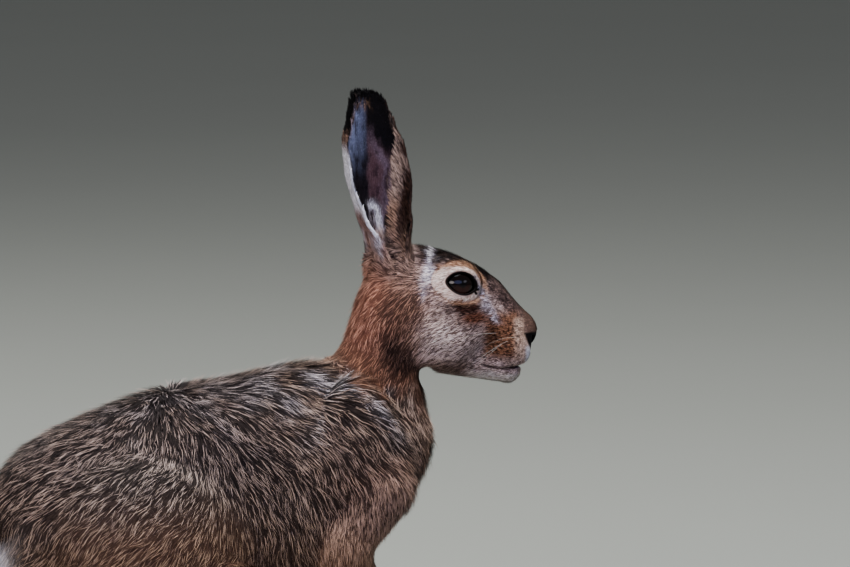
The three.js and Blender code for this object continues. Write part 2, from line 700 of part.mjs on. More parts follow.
for (const side of SIDES) {
  const masses = limbsOf(side);
  const [foot, footRoom] = seatOf(masses.hindfoot, SEAT.foot, PAW_CELL * 2);
  const limbs = { thigh: [masses.thigh, SEAT.thigh], foreleg: [masses.arm, SEAT.arm] };
  for (const [name, [flesh, grown]] of Object.entries(limbs)) {
    const [seat, room] = seatOf(flesh, grown, TRUNK_CELL);
    parts[`${name}_${side.name}`] = torso.intersect(seat);
    torso = torso.subtract(room);
  }
  parts[`thigh_${side.name}`] = largest(aboveFloor(parts[`thigh_${side.name}`].subtract(footRoom)));
  torso = torso.subtract(footRoom);

  const hindfoot = fineFoot(masses.hindfoot).intersect(foot);
  parts[`hindfoot_${side.name}`] = largest(aboveFloor(withClaws(hindfoot, masses.hindfoot)));
  const paw = halfOf(fineFoot(masses.forepaw), WRIST_CUT, false);
  parts[`forepaw_${side.name}`] = largest(aboveFloor(withClaws(paw, masses.forepaw)));
  parts[`foreleg_${side.name}`] = largest(halfOf(parts[`foreleg_${side.name}`], WRIST_CUT, true));
}
parts.torso = largest(torso);

const LOOKS = {
  head: FUR.brown,
  neck: FUR.rust,
  torso: FUR.grey,
  tail: DARK.tail,
  ear: DARK.ear,
  eye: DARK.eye,
  thigh: FUR.brown,
  hindfoot: FUR.pale,
  foreleg: FUR.rust,
  forepaw: FUR.pale,
};

// A part's mesh, without the slivers that the cuts leave
function meshOf(name, part) {
  const { vertProperties, triVerts } = largest(part.asOriginal().simplify(SLIVER)).getMesh();
  const geometry = new THREE.BufferGeometry();
  geometry.setAttribute('position', new THREE.BufferAttribute(vertProperties, 3));
  geometry.setIndex(new THREE.BufferAttribute(triVerts, 1));
  geometry.computeVertexNormals();
  const shiny = name.startsWith('eye');
  const material = new THREE.MeshStandardMaterial({
    color: LOOKS[name.split('_')[0]],
    roughness: shiny ? 0.1 : 0.9,
    metalness: 0,
  });
  const mesh = new THREE.Mesh(geometry, material);
  mesh.name = name;
  return mesh;
}

const model = new THREE.Group();
for (const [name, part] of Object.entries(parts)) model.add(meshOf(name, part));

// The origin is the middle of the underside
const bounds = new THREE.Box3().setFromObject(model, true);
const middle = bounds.getCenter(new THREE.Vector3());
model.position.set(-middle.x, -middle.y, -bounds.min.z);

export default model;
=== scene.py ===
# A brown hare, life size: one skin over the flesh, a coat of mesh tufts, eyes, claws and whiskers.
# Lengths are in millimetres in the body's own frame, with +Z up and the trunk facing +X, until a
# mesh is made. The head has a frame of its own, from the point midway between the eyes.

import math

import bmesh
import bpy
import numpy as np
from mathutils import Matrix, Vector


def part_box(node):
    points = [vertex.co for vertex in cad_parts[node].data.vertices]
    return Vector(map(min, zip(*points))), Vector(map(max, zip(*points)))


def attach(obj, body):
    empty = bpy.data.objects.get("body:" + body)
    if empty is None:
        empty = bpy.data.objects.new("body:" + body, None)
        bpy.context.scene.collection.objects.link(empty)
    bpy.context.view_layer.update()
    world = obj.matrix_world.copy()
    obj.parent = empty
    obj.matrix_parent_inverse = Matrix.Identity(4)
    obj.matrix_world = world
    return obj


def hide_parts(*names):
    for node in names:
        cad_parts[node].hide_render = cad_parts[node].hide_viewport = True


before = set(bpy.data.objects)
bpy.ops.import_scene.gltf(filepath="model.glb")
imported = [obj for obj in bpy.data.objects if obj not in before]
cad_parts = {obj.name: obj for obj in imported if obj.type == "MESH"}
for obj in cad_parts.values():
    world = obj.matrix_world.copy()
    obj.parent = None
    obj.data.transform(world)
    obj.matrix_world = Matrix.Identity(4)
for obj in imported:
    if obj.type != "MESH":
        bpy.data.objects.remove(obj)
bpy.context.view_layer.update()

# Driving dimensions, as in the part's source
EYE_HEIGHT = 252
HEAD_YAW = -11
EYE_RADIUS = 12
EYE_APART = 31
EYE_OUT = 8
EYE_UP = 6
LID_OPENING = (9.4, 7.1)
LID_TILT = -14
EAR_LENGTH = 112
EAR_BACK = 10
EAR_FLAT = 0.7
EAR_BOW = 2
EAR_THICK = 3.0
SEED = 11

# Rounded masses, as in the part's source: an egg by its centre, half axes and pitch, and a rod by its
# ends and radii. The last two numbers are how softly it blends in and how deep the coat is over it.
def egg(at, half, pitch, blend, coat):
    return dict(at=at, half=half, pitch=pitch, blend=blend, coat=coat)


def rod(start, end, radii, blend, coat):
    return dict(start=start, end=end, radii=radii, blend=blend, coat=coat)


HEAD_MASSES = [
    egg((-22, 0, -4), (33, 24, 28), -20, 1, 1.2),
    rod((-5, 0, -13), (41, 0, -35.5), (27, 14.2), 10, 0.6),
    egg((-15, 13, -33), (31, 17, 22), -14, 10, 1.8),
    rod((-2, 0, -46), (36.5, 0, -58.8), (15.5, 9.8), 9, 1.0),
    egg((19, 0, -2), (19, 15, 8.5), -40, 8, 0.4),
    rod((24, 0, -11), (45.5, 0, -30), (10.5, 8.6), 6, 0.2),
    egg((1, 17, 9), (16, 8, 7.5), -30, 7, 0.8),
    egg((0, 15.5, 0), (15, 13.2, 13), -14, 6, 0.8),
    egg((39, 8.5, -44.5), (13, 9, 11), -38, 5, 1.0),
    egg((48, 0, -33.5), (7.5, 7.5, 7), -30, 4, 0.4),
    rod((-40, 12, 2), (-43, 13, 11), (15, 13.5), 10, 2.2),
]
TRUNK_MASSES = [
    egg((-108, 0, 137), (84, 49, 61), 3, 1, 7),
    egg((-106, 0, 169), (52, 26, 35), 2, 22, 6.5),
    egg((-184, 0, 133), (84, 53, 63), 0, 30, 7),
    egg((-254, 0, 107), (72, 58, 66), 8, 30, 7),
    egg((-160, 0, 92), (92, 46, 46), 0, 30, 6),
    egg((-57, 0, 160), (40, 38, 50), 0, 20, 5.5),
    rod((-57, 0, 186), (-41.5, 0, 234), (28, 27.5), 16, 4),
    egg((-78, 32, 148), (32, 22, 51), 14, 10, 5.5),
]
TAIL_MASSES = [
    rod((-310, 0, 92), (-342, 0, 66), (21, 22), 10, 6),
    rod((-342, 0, 66), (-363, 0, 50), (22, 15), 10, 6),
]
THIGH = [
    egg((-226, 44, 92), (66, 30, 58), -24, 14, 6),
    rod((-172, 56, 58), (-286, 50, 24), (25, 15), 12, 4.5),
]
ARM = [
    rod((-64, 36, 122), (-92, 38, 84), (24, 19), 12, 5),
    rod((-91, 35, 86), (-60, 27, 24), (18, 10), 9, 2.6),
]
FORE_SOLE = rod((-57, 27, 10.3), (-42, 27, 8.3), (9.8, 10), 7, 1.4)
HIND_SOLE = rod((-288, 50, 12), (-192, 54, 10.5), (12.4, 13), 9, 1.8)
TOE = dict(radius=5.6, taper=0.86, blend=2.5, rise=5.4, root=2, close=0.8, step=2.4, coat=1.0)
FORE_TOES = dict(count=4, reach=14, spread=7.2, fan=6)
HIND_TOES = dict(count=4, reach=17, spread=8.6, fan=6)
SIDES = [dict(name="right", y=-1, fore=0, hind=0), dict(name="left", y=1, fore=9, hind=6)]
JOIN = dict(thigh=14, arm=12, paw=7, foot=9, head=12, tail=10, ear=5)

EAR_SHAPE = [
    (0, 11.5, 150), (0.12, 13, 135), (0.3, 17, 105), (0.52, 21, 82),
    (0.7, 20.2, 70), (0.84, 15.6, 62), (0.94, 12, 56), (0.985, 10, 50), (1, 7.2, 46),
]
EARS = [
    dict(name="right", side=-1, root=(-41, 14, 12), lean=8.5, splay=4, opens=84),
    dict(name="left", side=1, root=(-41, 14, 12), lean=6.5, splay=1, opens=62),
]


def rad(degrees):
    return math.radians(degrees)


def cos_sin(degrees):
    return math.cos(rad(degrees)), math.sin(rad(degrees))


def smooth(value, low, high):
    t = np.clip((value - low) / (high - low), 0, 1)
    return t * t * (3 - 2 * t)


def unit(v):
    return v / np.maximum(np.linalg.norm(v, axis=-1, keepdims=True), 1e-9)


# Distances to the masses, for coordinates that broadcast
def ellipsoid(x, y, z, mass):
    cos, sin = cos_sin(mass["pitch"])
    at, half = mass["at"], [h - mass["coat"] for h in mass["half"]]
    dx, dz = x - at[0], z - at[2]
    a = ((dx * cos + dz * sin) / half[0]) ** 2
    b = ((y - at[1]) / half[1]) ** 2
    c = ((dz * cos - dx * sin) / half[2]) ** 2
    near = np.sqrt(a + c + b)
    slope = np.sqrt(a / half[0] ** 2 + c / half[2] ** 2 + b / half[1] ** 2)
    return near * (near - 1) / np.maximum(slope, 1e-6)


def limb(x, y, z, mass):
    start, end = np.array(mass["start"], float), np.array(mass["end"], float)
    run = end - start
    dx, dy, dz = x - start[0], y - start[1], z - start[2]
    t = np.clip((dx * run[0] + dz * run[2] + dy * run[1]) / (run @ run), 0, 1)
    first, last = mass["radii"]
    far = (dx - run[0] * t) ** 2 + (dy - run[1] * t) ** 2 + (dz - run[2] * t) ** 2
    return np.sqrt(far) - (first - mass["coat"] + (last - first) * t)


def blend_of(a, b, blend):
    overlap = np.maximum(blend - np.abs(a - b), 0) / blend
    return np.minimum(a, b) - overlap * overlap * (blend / 4)


def carve(a, b, blend):
    return -blend_of(-a, b, blend)


def masses_at(x, y, z, masses):
    value = None
    for mass in masses:
        term = (ellipsoid if "at" in mass else limb)(x, y, z, mass)
        value = term if value is None else blend_of(value, term, mass["blend"])
    return value


def moved(mass, side, ahead):
    copy = dict(mass)
    for key in ("at", "start", "end"):
        if key in mass:
            copy[key] = (mass[key][0] + ahead, mass[key][1] * side, mass[key][2])
    return copy


def toes_of(sole, toes):
    front = sole["end"]
    made = []
    for i in range(toes["count"]):
        across = i - (toes["count"] - 1) / 2
        root = (front[0] + TOE["root"], front[1] + across * toes["spread"] * TOE["close"], TOE["rise"])
        reach = toes["reach"] - abs(across) * TOE["step"]
        tip = (front[0] + reach, root[1] + math.tan(rad(across * toes["fan"])) * reach, TOE["rise"])
        radii = (TOE["radius"], TOE["radius"] * TOE["taper"])
        made.append(rod(root, tip, radii, TOE["blend"], TOE["coat"]))
    return made


def limbs_of(side):
    hind_sole = moved(HIND_SOLE, side["y"], side["hind"])
    fore_sole = moved(FORE_SOLE, side["y"], side["fore"])
    return dict(
        thigh=[moved(THIGH[0], side["y"], 0), moved(THIGH[1], side["y"], side["hind"] / 2)],
        arm=[moved(ARM[0], side["y"], 0), moved(ARM[1], side["y"], side["fore"] / 2)],
        paw=[fore_sole] + toes_of(fore_sole, FORE_TOES),
        foot=[hind_sole] + toes_of(hind_sole, HIND_TOES),
    )


LIMBS = {(name, side["y"]): masses for side in SIDES for name, masses in limbs_of(side).items()}


# The head's own frame
def to_head(x, y, z):
    cos, sin = cos_sin(HEAD_YAW)
    return x * cos + y * sin, y * cos - x * sin, z - EYE_HEIGHT


def from_head(p):
    cos, sin = cos_sin(HEAD_YAW)
    p = np.asarray(p, float)
    x, y, z = p[..., 0], p[..., 1], p[..., 2]
    return np.stack([x * cos - y * sin, x * sin + y * cos, z + EYE_HEIGHT], -1)


# A direction in the head's frame, in the body's
def turned(way):
    return from_head(way) - from_head((0, 0, 0))


def eye_axes():
    out = np.array([
        math.sin(rad(EYE_OUT)),
        math.cos(rad(EYE_OUT)) * math.cos(rad(EYE_UP)),
        math.sin(rad(EYE_UP)),
    ])
    out /= np.linalg.norm(out)
    along = np.array([1, 0, math.tan(rad(LID_TILT))])
    along -= out * (along @ out)
    along /= np.linalg.norm(along)
    up = np.cross(out, along)
    return out, along, up if up[2] > 0 else -up


OUT, ALONG, UP = eye_axes()
EYE_AT = np.array([0, EYE_APART / 2, 0])
EYE_CORNER = [(12.8, -1.0), (8.8, -2.6), (12.0, -4.2)]
EYE_REACH = 40
LID_REACH = 22
FAR_OFF = 60


# How far outside the lids' opening a point is, how far from the eye's centre, and how far out
def eye_place(hx, hy, hz):
    q = [hx - EYE_AT[0], np.abs(hy) - EYE_AT[1], hz - EYE_AT[2]]
    a, b, o = [sum(q[i] * axis[i] for i in range(3)) for axis in (ALONG, UP, OUT)]
    turn = np.degrees(np.arctan2(b, a))
    from_rear = (turn + 348) % 360 - 180
    corner = 1 + 0.1 * np.exp(-(((turn + 6) / 24) ** 2)) + 0.11 * np.exp(-((from_rear / 24) ** 2))
    wide, high = LID_OPENING[0] * corner, LID_OPENING[1]
    beyond = (np.sqrt((a / wide) ** 2 + (b / high) ** 2) - 1) * high
    return beyond, np.sqrt(a * a + b * b + o * o), o, b


# How far outside the opening a point round the eye is, and a large number elsewhere
def round_eye(beyond, far, out, *_):
    return np.where((far < EYE_REACH) & (out > 0), beyond, FAR_OFF)


# Ears: how far from the ear's shell, the share of its length, and the place across its section
EAR_T = np.linspace(0, 1, 201)


def ear_table(column):
    values = []
    for t in EAR_T:
        for a, b in zip(EAR_SHAPE, EAR_SHAPE[1:]):
            if t <= b[0]:
                share = (t - a[0]) / (b[0] - a[0])
                share = share * share * (3 - 2 * share)
                values.append(a[column] + (b[column] - a[column]) * share)
                break
    return np.array(values)


EAR_WIDTH = ear_table(1)
EAR_BEND = np.radians(ear_table(2))


def ear_place(ear, hx, hy, hz):
    height = hz - ear["root"][2]
    t = np.clip(height / EAR_LENGTH, 0, 1)
    bend = np.interp(t, EAR_T, EAR_BEND)
    width = np.interp(t, EAR_T, EAR_WIDTH)
    radius = width / np.sin(np.minimum(bend, math.pi / 2)) - 0.3
    flat = 1 + (EAR_FLAT - 1) * smooth(t, 0, 0.4)
    lean = math.tan(rad(ear["lean"])) * height + EAR_BOW * np.sin(math.pi * t)
    splay = math.tan(rad(ear["splay"])) * height * ear["side"]
    opens = rad(ear["opens"]) * ear["side"]
    qx = hx - ear["root"][0] + lean
    qy = hy - ear["root"][1] * ear["side"] - splay
    deep = qx * math.cos(opens) + qy * math.sin(opens) + EAR_BACK
    wide = qy * math.cos(opens) - qx * math.sin(opens)
    back = radius - deep / flat
    r = np.sqrt(back * back + wide * wide)
    turn = np.arctan2(wide, back)
    across = turn / bend
    thick = EAR_THICK * (1 - 0.3 * t) * (1 - 0.38 * np.minimum(across * across, 1))
    over = np.maximum(np.abs(turn) - bend, 0) * radius
    above = np.maximum(height - EAR_LENGTH, 0) + np.maximum(-height - 4, 0)
    inward = radius - thick / 2 - r
    shell = np.sqrt(inward * inward + over * over + above * above) - thick / 2
    narrow = thick * (2.4 - 1.2 * smooth(t, 0, 0.35))
    hollow = np.maximum(r - (radius - narrow), radius * np.cos(bend) - back)
    hollow = np.maximum(np.maximum(hollow, 3 - height), height - 0.45 * EAR_LENGTH)
    spread = wide / width
    return dict(shell=shell, t=t, across=across, inward=inward, hollow=hollow, spread=spread)


# Fine forms of the head: furrows as how deep the skin sinks, and nostrils as lines to carve
MOUTH = [(46, -55.5), (40, -57), (33, -57.7), (26, -56.6), (19, -54.5)]
NOSTRIL = [(51.2, 3.2, -44.6), (52.2, 4.4, -40.6), (51.4, 5.8, -37.4), (49.0, 7.0, -35.2), (46, 8.2, -34)]


def to_line(points, *place):
    best = None
    for start, end in zip(points, points[1:]):
        run = [b - a for a, b in zip(start, end)]
        square = sum(r * r for r in run)
        gaps = [p - a for p, a in zip(place, start)]
        t = np.clip(sum(g * r for g, r in zip(gaps, run)) / square, 0, 1)
        far = sum((g - r * t) ** 2 for g, r in zip(gaps, run))
        best = far if best is None else np.minimum(best, far)
    return np.sqrt(best)


def furrow(distance, width, depth):
    return depth * np.exp(-((distance / width) ** 2))


def head_details(value, hx, hy, hz):
    side = np.abs(hy)
    beyond, far, out, up = eye_place(hx, hy, hz)
    opening = np.maximum(beyond - 0.25 * np.maximum(out - EYE_RADIUS + 1, 0), 5 - out)
    value = carve(value, opening, 1.2)
    crease = furrow(beyond - 5.2 - 0.6 * smooth(up, -3, 5), 1.1, 0.55)
    value = value + np.where(far < LID_REACH, crease, 0)
    rim = np.sqrt((beyond - 0.75) ** 2 + (far - EYE_RADIUS - 0.35) ** 2) - 1.05
    rim = np.where(out > 0, rim, 9)
    value = blend_of(value, rim, 1.4)
    value = np.maximum(value, EYE_RADIUS + 0.12 - far)
    value = value + np.where(hx > 10, furrow(to_line(MOUTH, hx, hz), 1.0, 2.0), 0)
    cleft = (hx > 38) & (hz < -37) & (hz > -59)
    value = value + np.where(cleft, furrow(side, 0.9, 2.0) * smooth(hz, -60, -54), 0)
    value = carve(value, to_line(NOSTRIL, hx, side, hz) - 2.3, 1.0)
    nose_ring = furrow(to_line([(43.5, 9.5, -35), (45.5, 9, -42)], hx, side, hz), 1.6, 0.7)
    return value + nose_ring


# The whole skin: below 0 inside. groups_at gives each region's own distance, by name and side, and
# HEAD_BOX bounds the head's fine forms.
HEAD_BOX = np.array([[-30, -46, 180], [72, 46, 290]])


def groups_at(x, y, z):
    hx, hy, hz = to_head(x, y, z)
    values = {("trunk", 0): masses_at(x, np.abs(y), z, TRUNK_MASSES)}
    for key, masses in LIMBS.items():
        values[key] = masses_at(x, y, z, masses)
    values[("head", 0)] = masses_at(hx, np.abs(hy), hz, HEAD_MASSES)
    values[("tail", 0)] = masses_at(x, y, z, TAIL_MASSES)
    return values


def skin_at(x, y, z):
    value = None
    for (name, _), own in groups_at(x, y, z).items():
        value = own if value is None else blend_of(value, own, JOIN[name])
    for ear in EARS:
        place = ear_place(ear, *to_head(x, y, z))
        value = blend_of(value, place["shell"], JOIN["ear"])
        value = carve(value, place["hollow"], 1.5)
    return np.maximum(value, 0.3 - z)


def skin_points(p):
    value = skin_at(p[:, 0], p[:, 1], p[:, 2])
    inside = ((p > HEAD_BOX[0]) & (p < HEAD_BOX[1])).all(1)
    q = p[inside]
    value[inside] = head_details(value[inside], *to_head(q[:, 0], q[:, 1], q[:, 2]))
    return value


def slope_points(p, step=0.15):
    slope = np.empty_like(p)
    for axis in range(3):
        d = np.zeros(3)
        d[axis] = step
        slope[:, axis] = (skin_points(p + d) - skin_points(p - d)) / (2 * step)
    return slope


def onto_skin(p, turns, reach=1.2):
    for _ in range(turns):
        slope = slope_points(p)
        square = np.maximum((slope**2).sum(1, keepdims=True), 0.05)
        move = -slope * skin_points(p)[:, None] / square
        size = np.linalg.norm(move, axis=1, keepdims=True)
        p = p + move * np.minimum(1, reach / np.maximum(size, 1e-9))
    return p


# Grid lines that are close together in the fine ranges
def lines(*ranges):
    made = []
    for low, high, step in ranges:
        made.append(np.linspace(low, high, round((high - low) / step), endpoint=False))
    return np.concatenate(made + [[ranges[-1][1]]])


GRID = [
    lines((-388, -86, 2.6), (-86, 66, 1.15)),
    lines((-82, -44, 2.6), (-44, 44, 1.15), (44, 82, 2.6)),
    lines((-2, 34, 1.7), (34, 178, 2.8), (178, 380, 1.15)),
]


def grid_values():
    x, y, z = [a.astype(np.float32) for a in GRID]
    value = np.empty((len(x), len(y), len(z)), np.float32)
    for part in np.array_split(np.arange(len(z)), 8):
        block = skin_at(x[:, None, None], y[None, :, None], z[None, None, part])
        value[:, :, part] = block
    spans = [np.flatnonzero((a > lo) & (a < hi)) for a, lo, hi in zip(GRID, *HEAD_BOX)]
    cut = tuple(slice(s[0], s[-1] + 1) for s in spans)
    bx, by, bz = x[cut[0]], y[cut[1]], z[cut[2]]
    hx, hy, hz = to_head(bx[:, None, None], by[None, :, None], bz[None, None, :])
    value[cut] = head_details(value[cut], hx, hy, hz)
    return value


# One vertex in each cell that the surface crosses, and two triangles over each crossed edge
def surface(value):
    inside = value < 0
    shape = np.array(value.shape) - 1
    corners = [(n & 1, (n >> 1) & 1, n >> 2) for n in range(8)]
    count = sum(
        inside[a:shape[0] + a, b:shape[1] + b, c:shape[2] + c].astype(np.uint8) for a, b, c in corners
    )
    cells = np.argwhere((count > 0) & (count < 8))
    index = np.full(shape, -1, np.int64)
    index[tuple(cells.T)] = np.arange(len(cells))
    spots = [np.stack([GRID[a][cells[:, a] + c[a]] for a in range(3)], 1) for c in corners]
    values = [value[tuple((cells + c).T)] for c in corners]
    total, crossings = np.zeros((len(cells), 3)), np.zeros(len(cells))
    for n, corner in enumerate(corners):
        for axis in range(3):
            if corner[axis]:
                continue
            m = n + (1 << axis)
            cross = (values[n] < 0) != (values[m] < 0)
            share = values[n] / np.where(cross, values[n] - values[m], 1)
            place = spots[n] + (spots[m] - spots[n]) * share[:, None]
            total[cross] += place[cross]
            crossings[cross] += 1
    points = total / crossings[:, None]
    faces = []
    for axis in range(3):
        u, v = (axis + 1) % 3, (axis + 2) % 3
        low = [slice(None)] * 3
        high = [slice(None)] * 3
        low[axis], high[axis] = slice(0, -1), slice(1, None)
        edges = np.argwhere(inside[tuple(low)] != inside[tuple(high)])
        edges = edges[(edges[:, u] > 0) & (edges[:, v] > 0)]
        edges = edges[(edges[:, u] < shape[u]) & (edges[:, v] < shape[v])]
        ring = []
        for back, down in ((1, 1), (0, 1), (0, 0), (1, 0)):
            spot = edges.copy()
            spot[:, u] -= back
            spot[:, v] -= down
            ring.append(index[tuple(spot.T)])
        ring = np.stack(ring, 1)
        backward = ~inside[tuple(edges.T)]
        ring[backward] = ring[backward][:, ::-1]
        faces.append(ring)
    quads = np.concatenate(faces)
    p = points[quads]
    first = np.linalg.norm(p[:, 0] - p[:, 2], axis=1) < np.linalg.norm(p[:, 1] - p[:, 3], axis=1)
    a = np.where(first[:, None], quads[:, [0, 1, 2]], quads[:, [1, 2, 3]])
    b = np.where(first[:, None], quads[:, [0, 2, 3]], quads[:, [1, 3, 0]])
    return points, np.concatenate([a, b])


# Makes the mesh finer round the eyes, the nose and the mouth
def finer(points, faces):
    mesh = bpy.data.meshes.new("fine")
    mesh.from_pydata(points.tolist(), [], faces.tolist())
    bm = bmesh.new()
    bm.from_mesh(mesh)
    for reach in (1.0, 0.55):
        p = np.array([v.co[:] for v in bm.verts])
        hx, hy, hz = to_head(p[:, 0], p[:, 1], p[:, 2])
        beyond, far, out, _ = eye_place(hx, hy, hz)
        eye = (np.abs(beyond) < 7 * reach) & (far < LID_REACH) & (out > 2)
        near = np.minimum(to_line(MOUTH, hx, hz), to_line(NOSTRIL, hx, np.abs(hy), hz))
        lip = (hx > 14) & (near < 5 * reach) & (hz > -66)
        cleft = (hx > 38) & (np.abs(hy) < 4 * reach) & (hz < -30) & (hz > -60)
        wanted = eye | lip | cleft
        edges = [e for e in bm.edges if wanted[e.verts[0].index] and wanted[e.verts[1].index]]
        bmesh.ops.subdivide_edges(bm, edges=edges, cuts=1, use_grid_fill=True)
        bmesh.ops.triangulate(bm, faces=bm.faces)
        bm.verts.index_update()
    points = np.array([v.co[:] for v in bm.verts])
    faces = np.array([[v.index for v in f.verts] for f in bm.faces])
    bm.free()
    bpy.data.meshes.remove(mesh)
    return points, faces


# Keeps the largest connected piece of a surface
def joined(count, pairs):
    label = np.arange(count)
    while True:
        low = np.minimum(label[pairs[:, 0]], label[pairs[:, 1]])
        new = label.copy()
        np.minimum.at(new, pairs[:, 0], low)
        np.minimum.at(new, pairs[:, 1], low)
        new = new[new]
        new = new[new]
        if (new == label).all():
            return label
        label = new


def only_largest(points, faces):
    label = joined(len(points), np.concatenate([faces[:, :2], faces[:, 1:]]))
    best = np.bincount(label).argmax()
    keep = label == best
    renumber = np.cumsum(keep) - 1
    return points[keep], renumber[faces[keep[faces[:, 0]]]]


def build_skin():
    points, faces = only_largest(*surface(grid_values()))
    points, faces = finer(onto_skin(points, 1), faces)
    points = onto_skin(points, 3, 0.6)
    points[:, 2] = np.maximum(points[:, 2], 0.3)
    return points, faces, unit(slope_points(points))


# The skin's own unwrap: charts of faces that look the same way, packed on shelves
def face_pairs(faces):
    edges = np.concatenate([faces[:, [0, 1]], faces[:, [1, 2]], faces[:, [2, 0]]])
    owner = np.tile(np.arange(len(faces)), 3)
    key = np.sort(edges, 1) @ np.array([1, 1 << 32])
    order = np.argsort(key, kind="stable")
    same = key[order][1:] == key[order][:-1]
    return np.stack([owner[order][:-1][same], owner[order][1:][same]], 1)


def unwrap(points, faces):
    p = points[faces]
    normal = unit(np.cross(p[:, 1] - p[:, 0], p[:, 2] - p[:, 0]))
    pairs = face_pairs(faces)
    way = normal
    for _ in range(12):
        total = way.copy()
        for i, j in ((0, 1), (1, 0)):
            for axis in range(3):
                total[:, axis] += np.bincount(pairs[:, i], way[pairs[:, j], axis], len(faces))
        way = unit(total)
    axis = np.abs(way).argmax(1)
    look = axis * 2 + (way[np.arange(len(faces)), axis] > 0)
    same = look[pairs[:, 0]] == look[pairs[:, 1]]
    _, chart = np.unique(joined(len(faces), pairs[same]), return_inverse=True)
    uv = np.empty((len(faces), 3, 2))
    for n in range(3):
        at = axis == n
        uv[at] = p[at][:, :, [(n + 1) % 3, (n + 2) % 3]]
    low = np.full((chart.max() + 1, 2), np.inf)
    high = -low
    for c in range(3):
        np.minimum.at(low, chart, uv[:, c])
        np.maximum.at(high, chart, uv[:, c])
    size = high - low + 1.5
    order = np.argsort(-size[:, 1])
    width = math.sqrt(size.prod(1).sum()) * 1.05
    while True:
        spot, x, y, tall = np.zeros_like(size), 0.0, 0.0, 0.0
        for c in order:
            if x + size[c, 0] > width:
                x, y, tall = 0.0, y + tall, 0.0
            spot[c] = x, y
            x += size[c, 0]
            tall = max(tall, size[c, 1])
        if y + tall <= width and size[:, 0].max() <= width:
            break
        width *= 1.02
    return (uv - low[chart][:, None] + spot[chart][:, None] + 0.7) / width


# Noise from a few sine waves, the same on every run
def waves(p, scale, seed, count=7):
    rng = np.random.default_rng(seed)
    total = np.zeros(len(p))
    for _ in range(count):
        way = rng.normal(size=3)
        way *= rng.uniform(0.5, 1.6) / np.linalg.norm(way) * 2 * math.pi / scale
        total += np.sin(p @ way + rng.uniform(0, 6.283))
    return total / math.sqrt(count / 2)


def srgb(*value):
    c = np.array(value, float) / 255
    return np.where(c <= 0.04045, c / 12.92, ((c + 0.055) / 1.055) ** 2.4)


def toward(colour, target, share):
    return colour + (target - colour) * np.clip(share, 0, 1)[:, None]


def between(low, high, share):
    return srgb(*low) + (srgb(*high) - srgb(*low)) * share


# The hairs' colours, at the base and at the tip. A mark turns both towards others, by a share.
class Hair:
    def __init__(self, points, base, tip):
        self.base, self.tip = [np.tile(srgb(*colour), (len(points), 1)) for colour in (base, tip)]

    def mark(self, base, tip, share):
        self.base = toward(self.base, srgb(*base), share)
        self.tip = toward(self.tip, srgb(*tip), share)


# What a point of the skin belongs to, as shares, and its places on the head and the ears
def regions(p):
    x, y, z = p[:, 0], p[:, 1], p[:, 2]
    hx, hy, hz = to_head(x, y, z)
    ears = [ear_place(ear, hx, hy, hz) for ear in EARS]
    nearest = np.where(ears[0]["shell"] < ears[1]["shell"], 0, 1)
    own = {key: np.where(nearest == 0, ears[0][key], ears[1][key]) for key in ears[0]}
    facing = np.where(nearest == 0, 1, -1)
    near = {}
    for (name, _), value in groups_at(x, y, z).items():
        near[name] = np.minimum(near.get(name, value), value)
    near["ear"] = own["shell"]
    least = np.min(list(near.values()), 0)
    softness = dict(ear=1.6, paw=2.5, foot=3, head=5, tail=4, arm=5)
    share = {k: np.exp(-(v - least) / softness.get(k, 7)) for k, v in near.items()}
    total = sum(share.values())
    share = {k: v / total for k, v in share.items()}
    return dict(
        share=share, x=x, y=y, z=z, hx=hx, hy=np.abs(hy), hz=hz, side=np.sign(hy), ear=nearest,
        t=own["t"], inner=smooth(own["inward"], -0.2, 0.6),
        front=own["spread"] * facing, edge=own["across"] * facing,
    )


def bell(value, middle, half):
    return np.exp(-(((value - middle) / half) ** 2))


def band(value, low, high, soft):
    return smooth(value, low - soft, low + soft) * (1 - smooth(value, high - soft, high + soft))


# How much of the trunk is neck at a point: its coat is finer and softer than the back's
def neck_at(r, soft=0):
    return smooth(r["z"] + 0.3 * (r["x"] + 60) + soft, 174, 196) * smooth(r["x"], -92, -72)


# The head's markings, and painted shade in the nostrils: the base colour and the colour of the tips
CREST = ((-60, -40, -9, 12.5, 26, 39.7, 53), (8, 18, 19.5, 12.3, 2.6, -11, -26))


